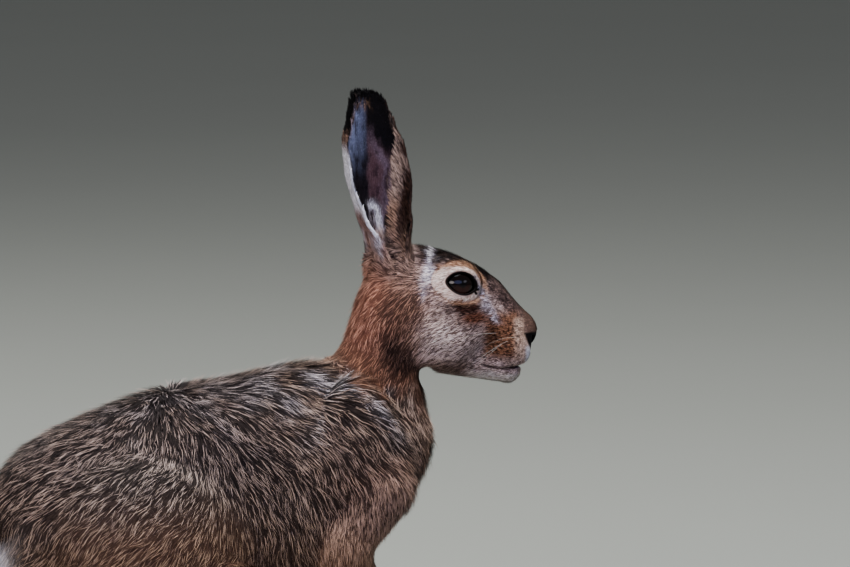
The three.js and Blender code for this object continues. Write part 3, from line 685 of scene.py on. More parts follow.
def head_colour(r, p):
    hx, hz = r["hx"], r["hz"]
    wobble = waves(p, 11, 3)
    ragged = waves(p, 3.6, 8)
    beyond, far, out, up = eye_place(hx, r["hy"], hz)
    eye = round_eye(beyond, far, out) + wobble * 0.4 + ragged * 0.25
    below = np.interp(hx, *CREST) - hz + wobble + ragged
    hair = Hair(p, (62, 47, 45), (208, 182, 174))
    mark = hair.mark
    mark((42, 31, 29), (170, 142, 130), smooth(-hx, 22, 34))
    mark((84, 64, 58), (255, 234, 222), bell(hx, -18, 20) * bell(hz, -32, 17))
    mark((26, 18, 17), (128, 104, 98), band(below, -9, 13, 3) * smooth(hx, 12, 24))
    mark((3, 2, 3), (40, 31, 30), band(below, -9, 6, 1.6) * band(hx, -25, 24, 3))
    mark((38, 22, 16), (154, 106, 78), band(hx, 18, 42, 4) * band(hz, -50, -20, 4))
    beside = band(hx, 38.5, 47, 2.5) * (band(hz, -38, -24, 2.5) + 0.75 * band(hz, -52, -38, 3))
    mark((92, 72, 62), (204, 176, 156), beside)
    dark = bell(hx, 5, 12) * bell(hz, -14.5 - 0.12 * hx + wobble * 0.5, 4.6)
    mark((30, 16, 12), (120, 74, 56), bell(hx, 10, 13) * bell(hz, -22, 6) * 1.2)
    mark((10, 5, 5), (56, 32, 26), dark * 1.5)
    mark((110, 78, 58), (212, 166, 134), (1 - smooth(eye, 6, 8.5)) * 0.85)
    cream = 4.0 + 2.0 * smooth(-hx, 3, 11) - 0.9 * smooth(up, 1, 6)
    mark((176, 148, 134), (255, 238, 226), 1 - smooth(eye, cream - 0.7, cream + 0.7))
    behind = bell(hx + 16.5 + 0.36 * (20 - hz) + wobble * 0.8, 0, 2.1 + 1.5 * bell(hz, 3, 7))
    mark((118, 110, 124), (255, 252, 255), behind * band(hz, -10, 22, 2.5) * (1.2 + 0.5 * ragged))
    ahead = bell(hx - 14.2 + 0.6 * (hz + 4.6) + wobble * 0.8, 0, 3.4) * band(hz, -26, 6, 3)
    mark((74, 64, 66), (210, 200, 212), ahead * (1.0 + 0.35 * ragged))
    mark((150, 146, 150), (226, 228, 236), smooth(hx, 45, 48) * band(hz, -60, -43, 2))
    chin = 1 - smooth(hz + 0.12 * (hx - 20) + wobble, -62, -57)
    mark((120, 108, 100), (220, 212, 204), chin * smooth(hx, -16, 4))
    mark((46, 33, 28), (124, 96, 84), smooth(hx, 42, 48) * smooth(hz, -36, -32))
    rows = np.sin((hz + 0.4 * hx) * 1.35) * np.sin((hx - 0.35 * hz) * 1.15)
    spots = smooth(rows, 0.42, 0.68) * band(hx, 22, 42, 3) * band(hz, -47, -27, 3)
    mark((8, 5, 4), (40, 25, 20), spots * 0.9)
    mark((34, 22, 19), (112, 80, 66), (1 - smooth(hz, -56, -46)) * (1 - smooth(hx, 2, 18)) * 0.85)
    naked = 1 - smooth(np.where(far < EYE_REACH, beyond, FAR_OFF), 0.5, 1.2)
    ahead_of_eye = hx * ALONG[0] + (r["hy"] - EYE_AT[1]) * ALONG[1] + hz * ALONG[2]
    corner = np.where((far < LID_REACH) & (out > 0), to_line(EYE_CORNER, ahead_of_eye, up), 9)
    naked = np.maximum(naked, 1 - smooth(corner, 0.6, 1.2))
    # Painted shade: the nostrils, and the wedge at the nose's front where they open, are painted near-black
    # as the shadow in them
    nostril = 1 - smooth(to_line(NOSTRIL, hx, r["hy"], hz), 2.9, 3.6)
    nostril_shadow = smooth(hx + 0.45 * (hz + 35), 45, 46.2) * band(hz, -47.5, -33.8, 0.8)
    nostril = np.maximum(nostril, nostril_shadow)
    mouth = (1 - smooth(to_line(MOUTH, hx, hz), 0.5, 1.4)) * (hx > 14)
    mark((9, 6, 6), (9, 6, 6), naked)
    mark((6, 4, 5), (6, 4, 5), nostril)
    mark((40, 27, 24), (40, 27, 24), mouth * 0.8)
    mark((74, 40, 30), (186, 120, 90), bell(hx, -53, 8) * bell(hz, -8, 20))
    return hair.base, hair.tip, np.maximum(naked, nostril)


# Where the ear's rim, dark and pink bands end and its fringe and front strip start, from its back
# edge at -1 to its front edge at 1, at these shares of its length. The rim is told by the way round
# the ear's section, and the others by the width.
EAR_LEVELS = (0.05, 0.11, 0.23, 0.35, 0.47, 0.59, 0.71, 0.83, 0.93)
EAR_BANDS = dict(
    rim=(-0.92, -0.94, -0.965, -0.985, -0.99, -1.0, -1.0, -1.0, -1.2),
    dark=(-0.62, -0.6, -0.55, -0.52, -0.36, -0.32, -0.2, -0.2, -0.25),
    pink=(-0.1, -0.1, 0.0, 0.38, 0.43, 0.5, 0.2, 0.1, 0.0),
    fringe=(0.16, 0.18, 0.24, 0.38, 0.45, 0.56, 0.74, 0.88, 1.05),
    strip=(0.72, 0.7, 0.6, 0.72, 0.84, 0.93, 0.97, 1.1, 1.2),
)


def ear_colour(r, p):
    t, inner = r["t"], r["inner"]
    wobble = waves(p * [1, 1, 0.35], 6, 5)
    streak = waves(p * [1, 1, 0.22], 2.4, 6)
    front = r["front"] + wobble * 0.04 + streak * 0.03
    end = {name: np.interp(t, EAR_LEVELS, row) for name, row in EAR_BANDS.items()}
    hair = Hair(p, (40, 28, 25), (138, 108, 92))
    mark = hair.mark
    mark((30, 22, 28), (64, 52, 60), inner)
    pink = inner * smooth(front, end["dark"] - 0.05, end["dark"] + 0.12) * (1 - smooth(t, 0.66, 0.8))
    mark((50, 33, 38), (80, 58, 64), pink)
    mark((72, 60, 72), (112, 98, 112), pink * bell(front, end["pink"] - 0.15, 0.16) * 0.6)
    mark((24, 14, 18), (44, 28, 34), pink * smooth(wobble + streak, 0.9, 1.8) * 0.7)
    back = inner * (1 - smooth(front, end["dark"] - 0.08, end["dark"] + 0.08))
    mark((9, 7, 10), (24, 19, 25), back)
    sheen = back * smooth(t, 0.48, 0.84) * smooth(wobble + 0.5 * streak, -2.4, 1.4)
    mark((82, 88, 116), (140, 148, 184), sheen * (0.4 + 0.6 * smooth(-front, 0.3, 0.85)))
    top = inner * smooth(front, end["pink"] - 0.1, end["pink"] + 0.12) * smooth(t, 0.55, 0.72)
    mark((5, 4, 6), (14, 11, 14), top)
    mark((5, 4, 5), (14, 11, 13), inner * smooth(t, 0.76, 0.86) * smooth(front, -0.3, -0.1))
    # Painted shade: the slit at the ear's foot, where its edges roll in, is painted near-black as the
    # shadow in the deep hollow
    slit = inner * band(front, end["pink"] - 0.04, end["fringe"] + 0.02, 0.06) * (1 - smooth(t, 0.26, 0.36))
    mark((5, 3, 4), (16, 10, 12), slit)
    tuft = inner * bell(front, -0.27, 0.16) * band(t, 0.17, 0.37, 0.04)
    mark((110, 108, 118), (232, 232, 242), tuft * (1.1 + 0.4 * streak))
    low = inner * (1 - smooth(t, 0.16, 0.24)) * (1 - smooth(front, -0.2, 0))
    mark((74, 56, 54), (176, 152, 144), low * 0.9)
    wall = (1 - inner) * smooth(-front, 0.1, 0.6)
    mark((70, 50, 48), (160, 126, 120), wall * (1 - smooth(t, 0.6, 0.7)))
    mark((150, 146, 152), (240, 238, 244), wall * band(t, 0.3, 0.66, 0.05))
    rim = 1 - smooth(r["edge"] + streak * 0.008, end["rim"], end["rim"] + 0.035)
    rim = rim * smooth(t + 0.02 * streak, 0.13, 0.2) * (1 - 0.9 * inner * smooth(t, 0.26, 0.34))
    mark((180, 180, 192), (242, 242, 250), rim * (1 - smooth(t, 0.6, 0.68)))
    mark((120, 114, 122), (230, 224, 232), bell(front, -0.82, 0.1) * (1 - smooth(t, 0.14, 0.22)))
    mark((10, 8, 8), (24, 18, 18), rim * smooth(t, 0.62, 0.7))
    fringe = band(front, end["fringe"], end["strip"], 0.06) * (1 - smooth(t, 0.86, 0.94)) * inner
    mark((48, 36, 33), (190, 162, 146), fringe)
    mark((52, 34, 26), (164, 122, 94), fringe * (1 - smooth(t, 0.3, 0.45)) * 0.7)
    strip = smooth(front, end["strip"] - 0.02, end["strip"] + 0.04)
    mark((10, 7, 7), (62, 42, 34), np.maximum(strip, (1 - inner) * smooth(front, 0.45, 0.6)))
    black = smooth(t + 0.012 * wobble + 0.01 * streak, 0.94, 0.97)
    outer = (1 - inner) * smooth(t + 0.02 * wobble, 0.72, 0.78) * smooth(-front, -0.7, -0.2)
    mark((4, 3, 4), (9, 7, 9), np.maximum(black, outer))
    bars = bell(t, 0.935, 0.024) * smooth(streak, -0.4, 0.8) * inner
    mark((60, 42, 32), (150, 116, 92), bars * band(front, -0.8, 0.1, 0.15) * 0.75)
    mark((60, 42, 34), (138, 104, 80), bell(front, -0.9, 0.07) * band(t, 0.76, 0.93, 0.05) * inner * 0.6)
    foot = 1 - smooth(t, 0.0, 0.1)
    mark((46, 34, 31), (158, 130, 118), foot * (1 - slit) * (1 - rim))
    return hair.base, hair.tip


def trunk_colour(r, p):
    x, z, side = r["x"], r["z"], np.abs(r["y"])
    hx, hz = r["hx"], r["hz"]
    patchy = waves(p, 34, 12)
    soft = waves(p, 17, 14) * 4
    hair = Hair(p, (15, 11, 12), (182, 154, 136))
    mark = hair.mark
    mark((7, 5, 7), (236, 224, 226), smooth(z, 140, 182) * smooth(patchy, -0.6, 1.2) * 0.9)
    mark((6, 4, 6), (158, 138, 130), smooth(-x, 110, 165) * smooth(z, 110, 150) * 0.7)
    shoulder = bell(x, -74, 34) * smooth(164 - z + soft, 0, 40) * smooth(side, 14, 30)
    mark((36, 26, 22), (184, 148, 128), shoulder)
    flank = band(z + soft, 50, 100, 18) * (1 - smooth(x, -110, -80))
    mark((44, 30, 24), (178, 144, 116), flank * 0.8)
    mark((64, 48, 41), (222, 188, 166), smooth(x, -54, -34) * band(z, 150, 190, 12))
    mark((38, 25, 21), (164, 126, 106), smooth(x, -48, -28) * band(z, 96, 150, 12))
    neck = neck_at(r, soft)
    mark((60, 40, 32), (190, 136, 110), neck)
    rust = neck * smooth(-hx - waves(p, 14, 17) * 2.5, 46, 60)
    mark((104, 64, 50), (242, 176, 148), rust * smooth(z, 196, 222))
    mark((78, 50, 38), (188, 130, 98), rust * (1 - smooth(z, 196, 222)) * 0.8)
    # Painted shade under the cheek and the jaw, with a dark brown patch on the neck's side behind the cheek
    under = bell(hx, -40, 15) * bell(hz, -52, 10) + 0.9 * bell(hx, -48, 8) * bell(hz, -36, 10)
    mark((20, 12, 10), (92, 62, 52), under * 1.1)
    mark((176, 166, 156), (240, 236, 232), 1 - smooth(z, 48, 66))
    return hair.base, hair.tip


# Colours of the limbs: base and tips, low down and then higher up, and where the one passes over
LIMB_COLOURS = dict(
    thigh=((64, 44, 35), (180, 146, 118), (20, 15, 14), (184, 166, 154), 90, 140),
    arm=((76, 52, 39), (178, 140, 110), (34, 23, 20), (158, 126, 110), 60, 110),
    paw=((88, 64, 48), (200, 166, 134), (76, 52, 39), (178, 140, 110), 14, 40),
    foot=((84, 62, 46), (160, 128, 98), (112, 86, 66), (214, 186, 156), 3, 10),
)


def colours(r, p):
    base, tip = trunk_colour(r, p)
    share = r["share"]
    head_base, head_tip, naked = head_colour(r, p)
    picked = dict(head=(head_base, head_tip), ear=ear_colour(r, p))
    for name, (low, low_tip, high, high_tip, start, end) in LIMB_COLOURS.items():
        up = smooth(r["z"], start, end)[:, None]
        picked[name] = between(low, high, up), between(low_tip, high_tip, up)
    upper = smooth(r["z"] - 0.8 * (r["x"] + 342) - 0.5 * np.abs(r["y"]), 66, 74)[:, None]
    tail_tip = between((244, 242, 240), (30, 24, 24), upper)
    picked["tail"] = between((196, 190, 186), (8, 6, 7), upper), tail_tip
    base, tip = base * share["trunk"][:, None], tip * share["trunk"][:, None]
    for name, (part_base, part_tip) in picked.items():
        base += part_base * share[name][:, None]
        tip += part_tip * share[name][:, None]
    return base, tip, naked * share["head"]


# The way that each ear's front edge faces, and how much of the fringe grows at a point
def ear_front(ear, way):
    opens = rad(ear["opens"]) * ear["side"]
    return turned(np.array([-math.sin(opens), math.cos(opens), 0]) * way)


EAR_FRONT = [ear_front(EARS[0], 1), ear_front(EARS[1], -1)]


def fringe_at(r):
    start = np.interp(r["t"], EAR_LEVELS, EAR_BANDS["fringe"])
    return r["inner"] * smooth(r["front"], start - 0.05, start + 0.1) * (1 - smooth(r["t"], 0.8, 0.9))


# The lie of the coat: where its hairs point, along the skin. The table gives forward, out and up.
LIMB_LIE = dict(
    thigh=(-0.8, 0.1, -0.7), arm=(-0.1, 0, -1.0), paw=(1.0, 0, -0.5), foot=(1.0, 0, -0.3),
    tail=(-0.8, 0, -0.55),
)


def lie(r, normal):
    share, side = r["share"], np.sign(r["y"])
    hx, hz = r["hx"], r["hz"]
    count = len(normal)
    ways = {}
    ridge = smooth(r["z"] - 0.25 * np.abs(r["y"]), 164, 198) * (1 - smooth(r["x"], -262, -204))
    fore = smooth(r["x"], -262, -152)
    turn = -52 + (68 + 34 * smooth(r["z"], 120, 172)) * fore
    turn = turn + (12 - turn) * smooth(r["x"], -58, -40)
    turn = turn + (-84 - turn) * ridge
    turn = np.radians(turn + (-34 - turn) * neck_at(r))
    ways["trunk"] = np.stack([np.sin(turn), 0.2 * side, -np.cos(turn)], 1)
    cos, sin = cos_sin(HEAD_YAW)
    down = -0.12 - 0.5 * smooth(-hz, 8, 40) * smooth(-hx, 0, 30) + 0.3 * smooth(hx, 10, 40)
    out = 0.35 * r["side"] * smooth(hx, 0, 40)
    lip = smooth(hx, 36, 44) * smooth(-hz, 38, 46)
    ways["head"] = np.stack([-cos - out * sin, -sin + out * cos, down - 1.6 * lip], 1)
    facing = np.where(r["ear"][:, None] == 0, EAR_FRONT[0], EAR_FRONT[1])
    ways["ear"] = np.array([-0.13, 0, 1.0]) - facing * (0.75 * fringe_at(r))[:, None]
    for name, (ahead, away, up) in LIMB_LIE.items():
        ways[name] = np.stack([np.full(count, ahead), away * side, np.full(count, up)], 1)
    total = sum(unit(way) * share[name][:, None] for name, way in ways.items())
    total -= normal * (total * normal).sum(1, keepdims=True)
    return unit(total)


# Meshes from arrays. OFFSET moves them so that the right eye lies where the frame has it.
def offset_of():
    low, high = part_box("eye_right")
    here = np.array((low + high) / 2) * 1000
    return here - from_head((0, -EYE_APART / 2, 0))


OFFSET = offset_of()


def linked(name, data):
    made = bpy.data.objects.new(name, data)
    bpy.context.scene.collection.objects.link(made)
    return made


def mesh_of(name, points, faces, slot, material):
    mesh = bpy.data.meshes.new(name)
    size = faces.shape[1]
    mesh.vertices.add(len(points))
    mesh.vertices.foreach_set("co", ((points + OFFSET) / 1000).astype(np.float32).ravel())
    mesh.loops.add(faces.size)
    mesh.loops.foreach_set("vertex_index", faces.astype(np.int32).ravel())
    mesh.polygons.add(len(faces))
    mesh.polygons.foreach_set("loop_start", np.arange(0, faces.size, size, dtype=np.int32))
    mesh.update(calc_edges=True)
    mesh.polygons.foreach_set("use_smooth", np.full(len(faces), True))
    mesh.materials.append(material)
    piece = linked(name, mesh)
    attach(piece, "root")
    return piece


def paint(piece, colour):
    layer = piece.data.color_attributes.new("Coat", "FLOAT_COLOR", "POINT")
    rgba = np.ones((len(colour), 4), np.float32)
    rgba[:, :3] = np.clip(colour, 0, 1)
    layer.data.foreach_set("color", rgba.ravel())


def unwrap_piece(piece, uv):
    layer = piece.data.uv_layers.new(name="OFBake")
    layer.data.foreach_set("uv", np.clip(uv, 0, 1).astype(np.float32).ravel())


# Materials: a shader with its inputs set, whose colour varies finely by noise
EYE_WET = {
    "Roughness": 0.25, "Specular IOR Level": 0.0,
    "Coat Weight": 1.0, "Coat Roughness": 0.09, "Coat IOR": 1.27,
}
BUMP_DEPTH = 0.0006


def shader_of(name, inputs):
    material = bpy.data.materials.new(name)
    material.use_nodes = True
    tree = material.node_tree
    shader = tree.nodes["Principled BSDF"]
    for key, value in inputs.items():
        shader.inputs[key].default_value = value
    return material, tree, shader


def add(tree, kind, inputs=None, **settings):
    node = tree.nodes.new(kind)
    for key, value in settings.items():
        setattr(node, key, value)
    for key, value in (inputs or {}).items():
        if isinstance(value, bpy.types.NodeSocket):
            tree.links.new(value, node.inputs[key])
        else:
            node.inputs[key].default_value = value
    return node


def noise_of(tree, grain, detail):
    place = add(tree, "ShaderNodeTexCoord").outputs["Object"]
    noise = add(tree, "ShaderNodeTexNoise", {"Vector": place, "Scale": grain, "Detail": detail})
    return noise.outputs["Fac"]


def painted_material(name, inputs, grain, detail, spread, bump=None):
    material, tree, shader = shader_of(name, inputs)
    colour = add(tree, "ShaderNodeVertexColor", layer_name="Coat").outputs["Color"]
    fine = noise_of(tree, grain, detail)
    level = add(tree, "ShaderNodeMapRange", {"Value": fine, "To Min": 1 - spread, "To Max": 1 + spread})
    shade = add(tree, "ShaderNodeVectorMath", {0: colour, 1: level.outputs["Result"]}, operation="MULTIPLY")
    tree.links.new(shade.outputs["Vector"], shader.inputs["Base Color"])
    if bump is not None:
        height = add(tree, "ShaderNodeBump", {"Height": fine, "Strength": bump, "Distance": BUMP_DEPTH})
        tree.links.new(height.outputs["Normal"], shader.inputs["Normal"])
    return material


def coat_material(name, roughness, grain, bump):
    inputs = {"Roughness": roughness, "Specular IOR Level": 0.04}
    return painted_material(name, inputs, grain, 3.0, 0.28, bump)


def plain_material(name, colour, roughness, grain=300.0, spread=0.15):
    material, tree, shader = shader_of(name, {"Roughness": roughness})
    ramp = add(tree, "ShaderNodeValToRGB", {"Fac": noise_of(tree, grain, 2.0)})
    for stop, factor in zip(ramp.color_ramp.elements, (1 - spread, 1 + spread)):
        stop.color = tuple(min(c * factor, 1) for c in colour) + (1,)
    tree.links.new(ramp.outputs["Color"], shader.inputs["Base Color"])
    return material


# Roots spread over the skin, so many to the square millimetre
def scatter(skin, density, rng):
    points, faces, normals, uv = skin
    p = points[faces]
    area = np.linalg.norm(np.cross(p[:, 1] - p[:, 0], p[:, 2] - p[:, 0]), axis=1) / 2
    number = np.floor(area * density + rng.random(len(faces))).astype(int)
    face = np.repeat(np.arange(len(faces)), number)
    a, b = rng.random(len(face)), rng.random(len(face))
    over = a + b > 1
    a[over], b[over] = 1 - a[over], 1 - b[over]
    w = np.stack([1 - a - b, a, b], 1)[:, :, None]
    root = (points[faces[face]] * w).sum(1)
    normal = unit((normals[faces[face]] * w).sum(1))
    return root, normal, (uv[face] * w).sum(1)


# Gathers tufts in wisps: each tip moves towards the middle of the tips in its own small cell
def gather(root, tip, size, share, rng):
    jitter = rng.normal(scale=0.12, size=root.shape) * size[:, None]
    cell = np.floor((root + jitter) / size[:, None]).astype(np.int64) + 1000
    key = cell @ np.array([1, 4096, 4096 * 4096]) + (size * 10).astype(np.int64) * 4096**3
    _, wisp = np.unique(key, return_inverse=True)
    count = np.bincount(wisp)
    middle = np.stack([np.bincount(wisp, tip[:, i]) / count for i in range(3)], 1)
    return tip + (middle[wisp] - tip) * share[:, None], wisp


# Tufts: flat blades of so many steps, narrowing to a point, rounded by their normals. A taper is the
# share of the width at each step, and CURL how many radians of crimp a tuft has along its length.
# PATCH is a tuft's size in the unwrap, and PIECE_LIMIT about how many triangles a piece may hold.
TAPERS = {2: (1, 0.8), 3: (1, 0.9, 0.55), 4: (1, 0.95, 0.75, 0.45)}
CURL = 9.0
PATCH = 0.003
PIECE_LIMIT = 190000


def blades(tufts, steps):
    root, normal, way, tip = [tufts[key] for key in ("root", "normal", "way", "tip")]
    count, size = len(root), steps * 2 + 1
    across = unit(np.cross(way, normal))
    points = np.empty((count, size, 3))
    shading = np.empty_like(points)
    for i, taper in enumerate(TAPERS[steps]):
        s = i / steps
        middle = root + (tip - root) * s
        middle = middle + normal * (tufts["arch"] * 4 * s * (1 - s))[:, None]
        middle = middle + across * (tufts["crimp"] * np.sin(tufts["phase"] + s * CURL) * s)[:, None]
        half = across * (tufts["width"] * taper / 2)[:, None]
        points[:, 2 * i], points[:, 2 * i + 1] = middle - half, middle + half
        shading[:, 2 * i], shading[:, 2 * i + 1] = normal - across * 0.55, normal + across * 0.55
    points[:, -1] = tip
    shading[:, -1] = normal + way * 0.3
    faces = []
    for i in range(steps - 1):
        a, b, c, d = 2 * i, 2 * i + 1, 2 * i + 3, 2 * i + 2
        faces += [(a, b, c), (a, c, d)]
    last = 2 * (steps - 1)
    faces.append((last, last + 1, last + 2))
    faces = np.array(faces)[None] + np.arange(count)[:, None, None] * size
    return points.reshape(-1, 3), faces.reshape(-1, 3), unit(shading.reshape(-1, 3))


def blade_colours(base, middle, tip, steps):
    rows = []
    for i in range(steps):
        s = i / steps
        low = base + (middle - base) * min(s / 0.5, 1)
        colour = low + (tip - low) * max((s - 0.5) / 0.5, 0)
        rows += [colour, colour]
    return np.stack(rows + [tip], 1)


def blade_uv(root_uv, steps):
    places = [(side * PATCH, i / steps * PATCH) for i in range(steps) for side in (-0.5, 0.5)]
    places.append((0, PATCH))
    return root_uv[:, None] + np.array(places)[None]


def coat_piece(name, tufts, steps, slot, material):
    points, faces, shading = blades(tufts, steps)
    points[:, 2] = np.maximum(points[:, 2], 0.15)
    piece = mesh_of(name, points, faces, slot, material)
    paint(piece, blade_colours(tufts["base"], tufts["middle"], tufts["end"], steps).reshape(-1, 3))
    unwrap_piece(piece, blade_uv(tufts["uv"], steps).reshape(-1, 2)[faces].reshape(-1, 2))
    piece.data.normals_split_custom_set_from_vertices(shading.tolist())


# The tufts by region: length and width in millimetres, and how many to the square millimetre
LENGTH = dict(trunk=18, thigh=15, arm=9, paw=4.4, foot=5, head=6, tail=17, ear=2.6)
WIDTH = dict(trunk=0.6, thigh=0.6, arm=0.56, paw=0.5, foot=0.54, head=0.46, tail=0.6, ear=0.42)
DENSITY = dict(trunk=1.35, thigh=1.25, arm=1.5, paw=2, foot=1.6, head=2.7, tail=1.3, ear=2.3)


def mixed(share, values):
    return sum(share[name] * value for name, value in values.items())


def coat_sizes(r):
    hx, t, neck = r["hx"], r["t"], neck_at(r)
    eye = round_eye(*eye_place(hx, r["hy"], r["hz"]))
    head = LENGTH["head"] - 3.1 * smooth(hx, 0, 36) - 1.4 * (1 - smooth(eye, 2, 9))
    head = head + 2.6 * smooth(-hx, 20, 42) - 1.2 * smooth(hx, 40, 50)
    ear = LENGTH["ear"] + 2.0 * (1 - smooth(t, 0.0, 0.2)) - 0.6 * r["inner"] + 4.6 * fringe_at(r)
    ear = ear + 5 * r["inner"] * bell(r["front"], -0.27, 0.2) * band(t, 0.12, 0.32, 0.04)
    ear = ear + 1.5 * smooth(t, 0.93, 0.99)
    lengths = dict(LENGTH, trunk=LENGTH["trunk"] - 6 * neck, head=head, ear=ear)
    widths = dict(WIDTH, trunk=WIDTH["trunk"] - 0.14 * neck)
    return mixed(r["share"], lengths), mixed(r["share"], widths)


def density_at(r):
    eye = round_eye(*eye_place(r["hx"], r["hy"], r["hz"]))
    head = DENSITY["head"] + 1.2 * smooth(r["hx"], 0, 35) + 0.9 * (1 - smooth(eye, 2, 12))
    return mixed(r["share"], dict(DENSITY, trunk=DENSITY["trunk"] + 0.8 * neck_at(r), head=head))


# Tufts of one kind. pale_share is how many of them are pale, loose how freely they part in wisps, and
# raised how much they stand up.
def tufts_over(skin, density, pale_share, steps, rng):
    root, normal, uv = scatter(skin, density, rng)
    r = regions(root)
    share = r["share"]
    _, _, naked = colours(r, root)
    length, width = coat_sizes(r)
    way = lie(r, normal)
    shown = root + way * (length * 0.55)[:, None] * (1 - share["ear"] * 0.9)[:, None]
    base, tip, over = colours(regions(shown), shown)
    loose = share["trunk"] * (0.9 - 0.6 * neck_at(r))
    loose = loose + share["thigh"] * 0.6 + share["tail"] * 0.5
    raised = bell(r["hx"], -52, 10) * band(r["hz"], -58, -4, 8) + share["tail"]
    chosen = np.flatnonzero(rng.random(len(root)) > np.maximum(naked, over) * 1.5)
    root, normal, uv, base, tip, length, width, way, loose, raised = [
        a[chosen] for a in (root, normal, uv, base, tip, length, width, way, loose, raised)
    ]
    count = len(root)
    side = np.cross(normal, way)
    swing = rng.normal(scale=0.16, size=count) * (1 + 0.9 * loose * pale_share)
    swing = swing + waves(root, 26, 21) * 0.16 * (0.4 + loose)
    way = unit(way + side * swing[:, None])
    length = length * rng.uniform(0.65, 1.25, count)
    lift = 0.22 + 0.06 * loose * pale_share + 0.12 * raised + rng.normal(scale=0.07, size=count)
    end = root + way * (length * np.sqrt(np.maximum(1 - lift**2, 0.2)))[:, None]
    end = end + normal * (length * lift)[:, None]
    wispy = loose > 0.42
    size = np.where(wispy, 5.5, 1.5)
    end, wisp = gather(root, end, size, 0.3 + 0.12 * loose, rng)
    tone = rng.normal(size=count)
    wisp_draw = np.random.default_rng(SEED + steps).random(wisp.max() + 1)[wisp]
    joint = np.where(wispy, 0.35, 0.45)
    draw = rng.random(count) * (1 - joint) + wisp_draw * joint
    pale = smooth(draw, 0.92 - pale_share, 1.08 - pale_share)
    end_colour = tip * pale[:, None] + (base * 1.1 + tip * 0.06) * (1 - pale)[:, None]
    end_colour = end_colour * np.exp(tone * 0.2)[:, None]
    middle = base + (end_colour - base) * (0.75 - 0.15 * loose)[:, None]
    return dict(
        root=root - normal * 0.4, normal=normal, way=way, tip=end, width=width * (1.15 - 0.3 * pale),
        arch=length * 0.05, crimp=0.75 * loose * rng.uniform(0.2, 1, count),
        phase=rng.uniform(0, 6.28, count), base=base * 0.5, middle=middle, end=end_colour, uv=uv,
    )


def coat_pieces(name, tufts, steps, slot, material):
    parts = max(1, math.ceil(len(tufts["root"]) * (2 * steps - 1) / PIECE_LIMIT))
    order = np.argsort(tufts["root"][:, 0], kind="stable")
    for n, chosen in enumerate(np.array_split(order, parts)):
        picked = {key: value[chosen] for key, value in tufts.items()}
        coat_piece(f"{name}_{n + 1}", picked, steps, slot, material)


# Eyes: a ball with a pupil, an iris painted brighter low down where light falls, and a dark rim round its
# outward axis
def ball(side):
    centre = from_head((0, side * EYE_AT[1], 0))
    axis = turned(np.array([OUT[0], OUT[1] * side, OUT[2]]))
    across = unit(np.cross(axis, (0, 0, 1)))
    up = np.cross(across, axis)
    rings, around = 72, 96
    angle = np.linspace(0, math.pi, rings)
    turn = np.arange(around) * 2 * math.pi / around
    pupil, iris, dark = srgb(4, 3, 4), srgb(36, 13, 9), srgb(4, 3, 3)
    points, colour = [centre + axis * EYE_RADIUS], [pupil]
    for a in angle[1:-1]:
        spoke = np.cos(turn)[:, None] * across + np.sin(turn)[:, None] * up
        points.extend(centre + (axis * math.cos(a) + spoke * math.sin(a)) * EYE_RADIUS)
        off = math.sin(a) * EYE_RADIUS if a < math.pi / 2 else EYE_RADIUS
        streak = 1 + 0.25 * np.sin(turn * 37) + 0.2 * np.sin(turn * 23 + 1)
        # Painted light: the iris is painted brown mostly in its lower half, where light through the cornea
        # falls, and left nearly as dark as the pupil above, as painted shade
        low = 0.1 + 0.9 * smooth(-np.sin(turn), 0, 0.9)
        ring = smooth(np.array(off), 1.6, 4.6) * (1 - smooth(np.array(off), 6.0, 7.8))
        rim = smooth(np.array(off), 8.6, 9.8)
        shade = pupil + (iris * (streak * low)[:, None] - pupil) * ring
        colour.extend(shade + (dark - shade) * rim)
    points.append(centre - axis * EYE_RADIUS)
    colour.append(dark)
    faces = [(0, 1 + i, 1 + (i + 1) % around) for i in range(around)]
    for ring in range(rings - 3):
        for i in range(around):
            a, b = 1 + ring * around + i, 1 + ring * around + (i + 1) % around
            faces += [(a, a + around, b + around), (a, b + around, b)]
    last = len(points) - 1
    start = last - around
    faces += [(last, start + (i + 1) % around, start + i) for i in range(around)]
    return np.array(points), np.array(faces), np.array(colour)


# Tubes along lines, narrowing: whiskers and claws
def tubes(paths, radii, sides):
    points, faces = [], []
    for path, radius in zip(paths, radii):
        first = len(points)
        run = unit(np.gradient(path, axis=0))
        across = unit(np.cross(run, (0.1, 0.2, 1)))
        up = np.cross(across, run)
        for k in range(len(path)):
            for i in range(sides):
                turn = 2 * math.pi * i / sides
                spoke = across[k] * math.cos(turn) + up[k] * math.sin(turn)
                points.append(path[k] + spoke * radius[k])
        for k in range(len(path) - 1):
            for i in range(sides):
                a, b = first + k * sides + i, first + k * sides + (i + 1) % sides
                faces += [(a, b, b + sides), (a, b + sides, a + sides)]
    return np.array(points), np.array(faces)


WHISKER = dict(count=14, length=(30, 62), radius=0.07, steps=9)


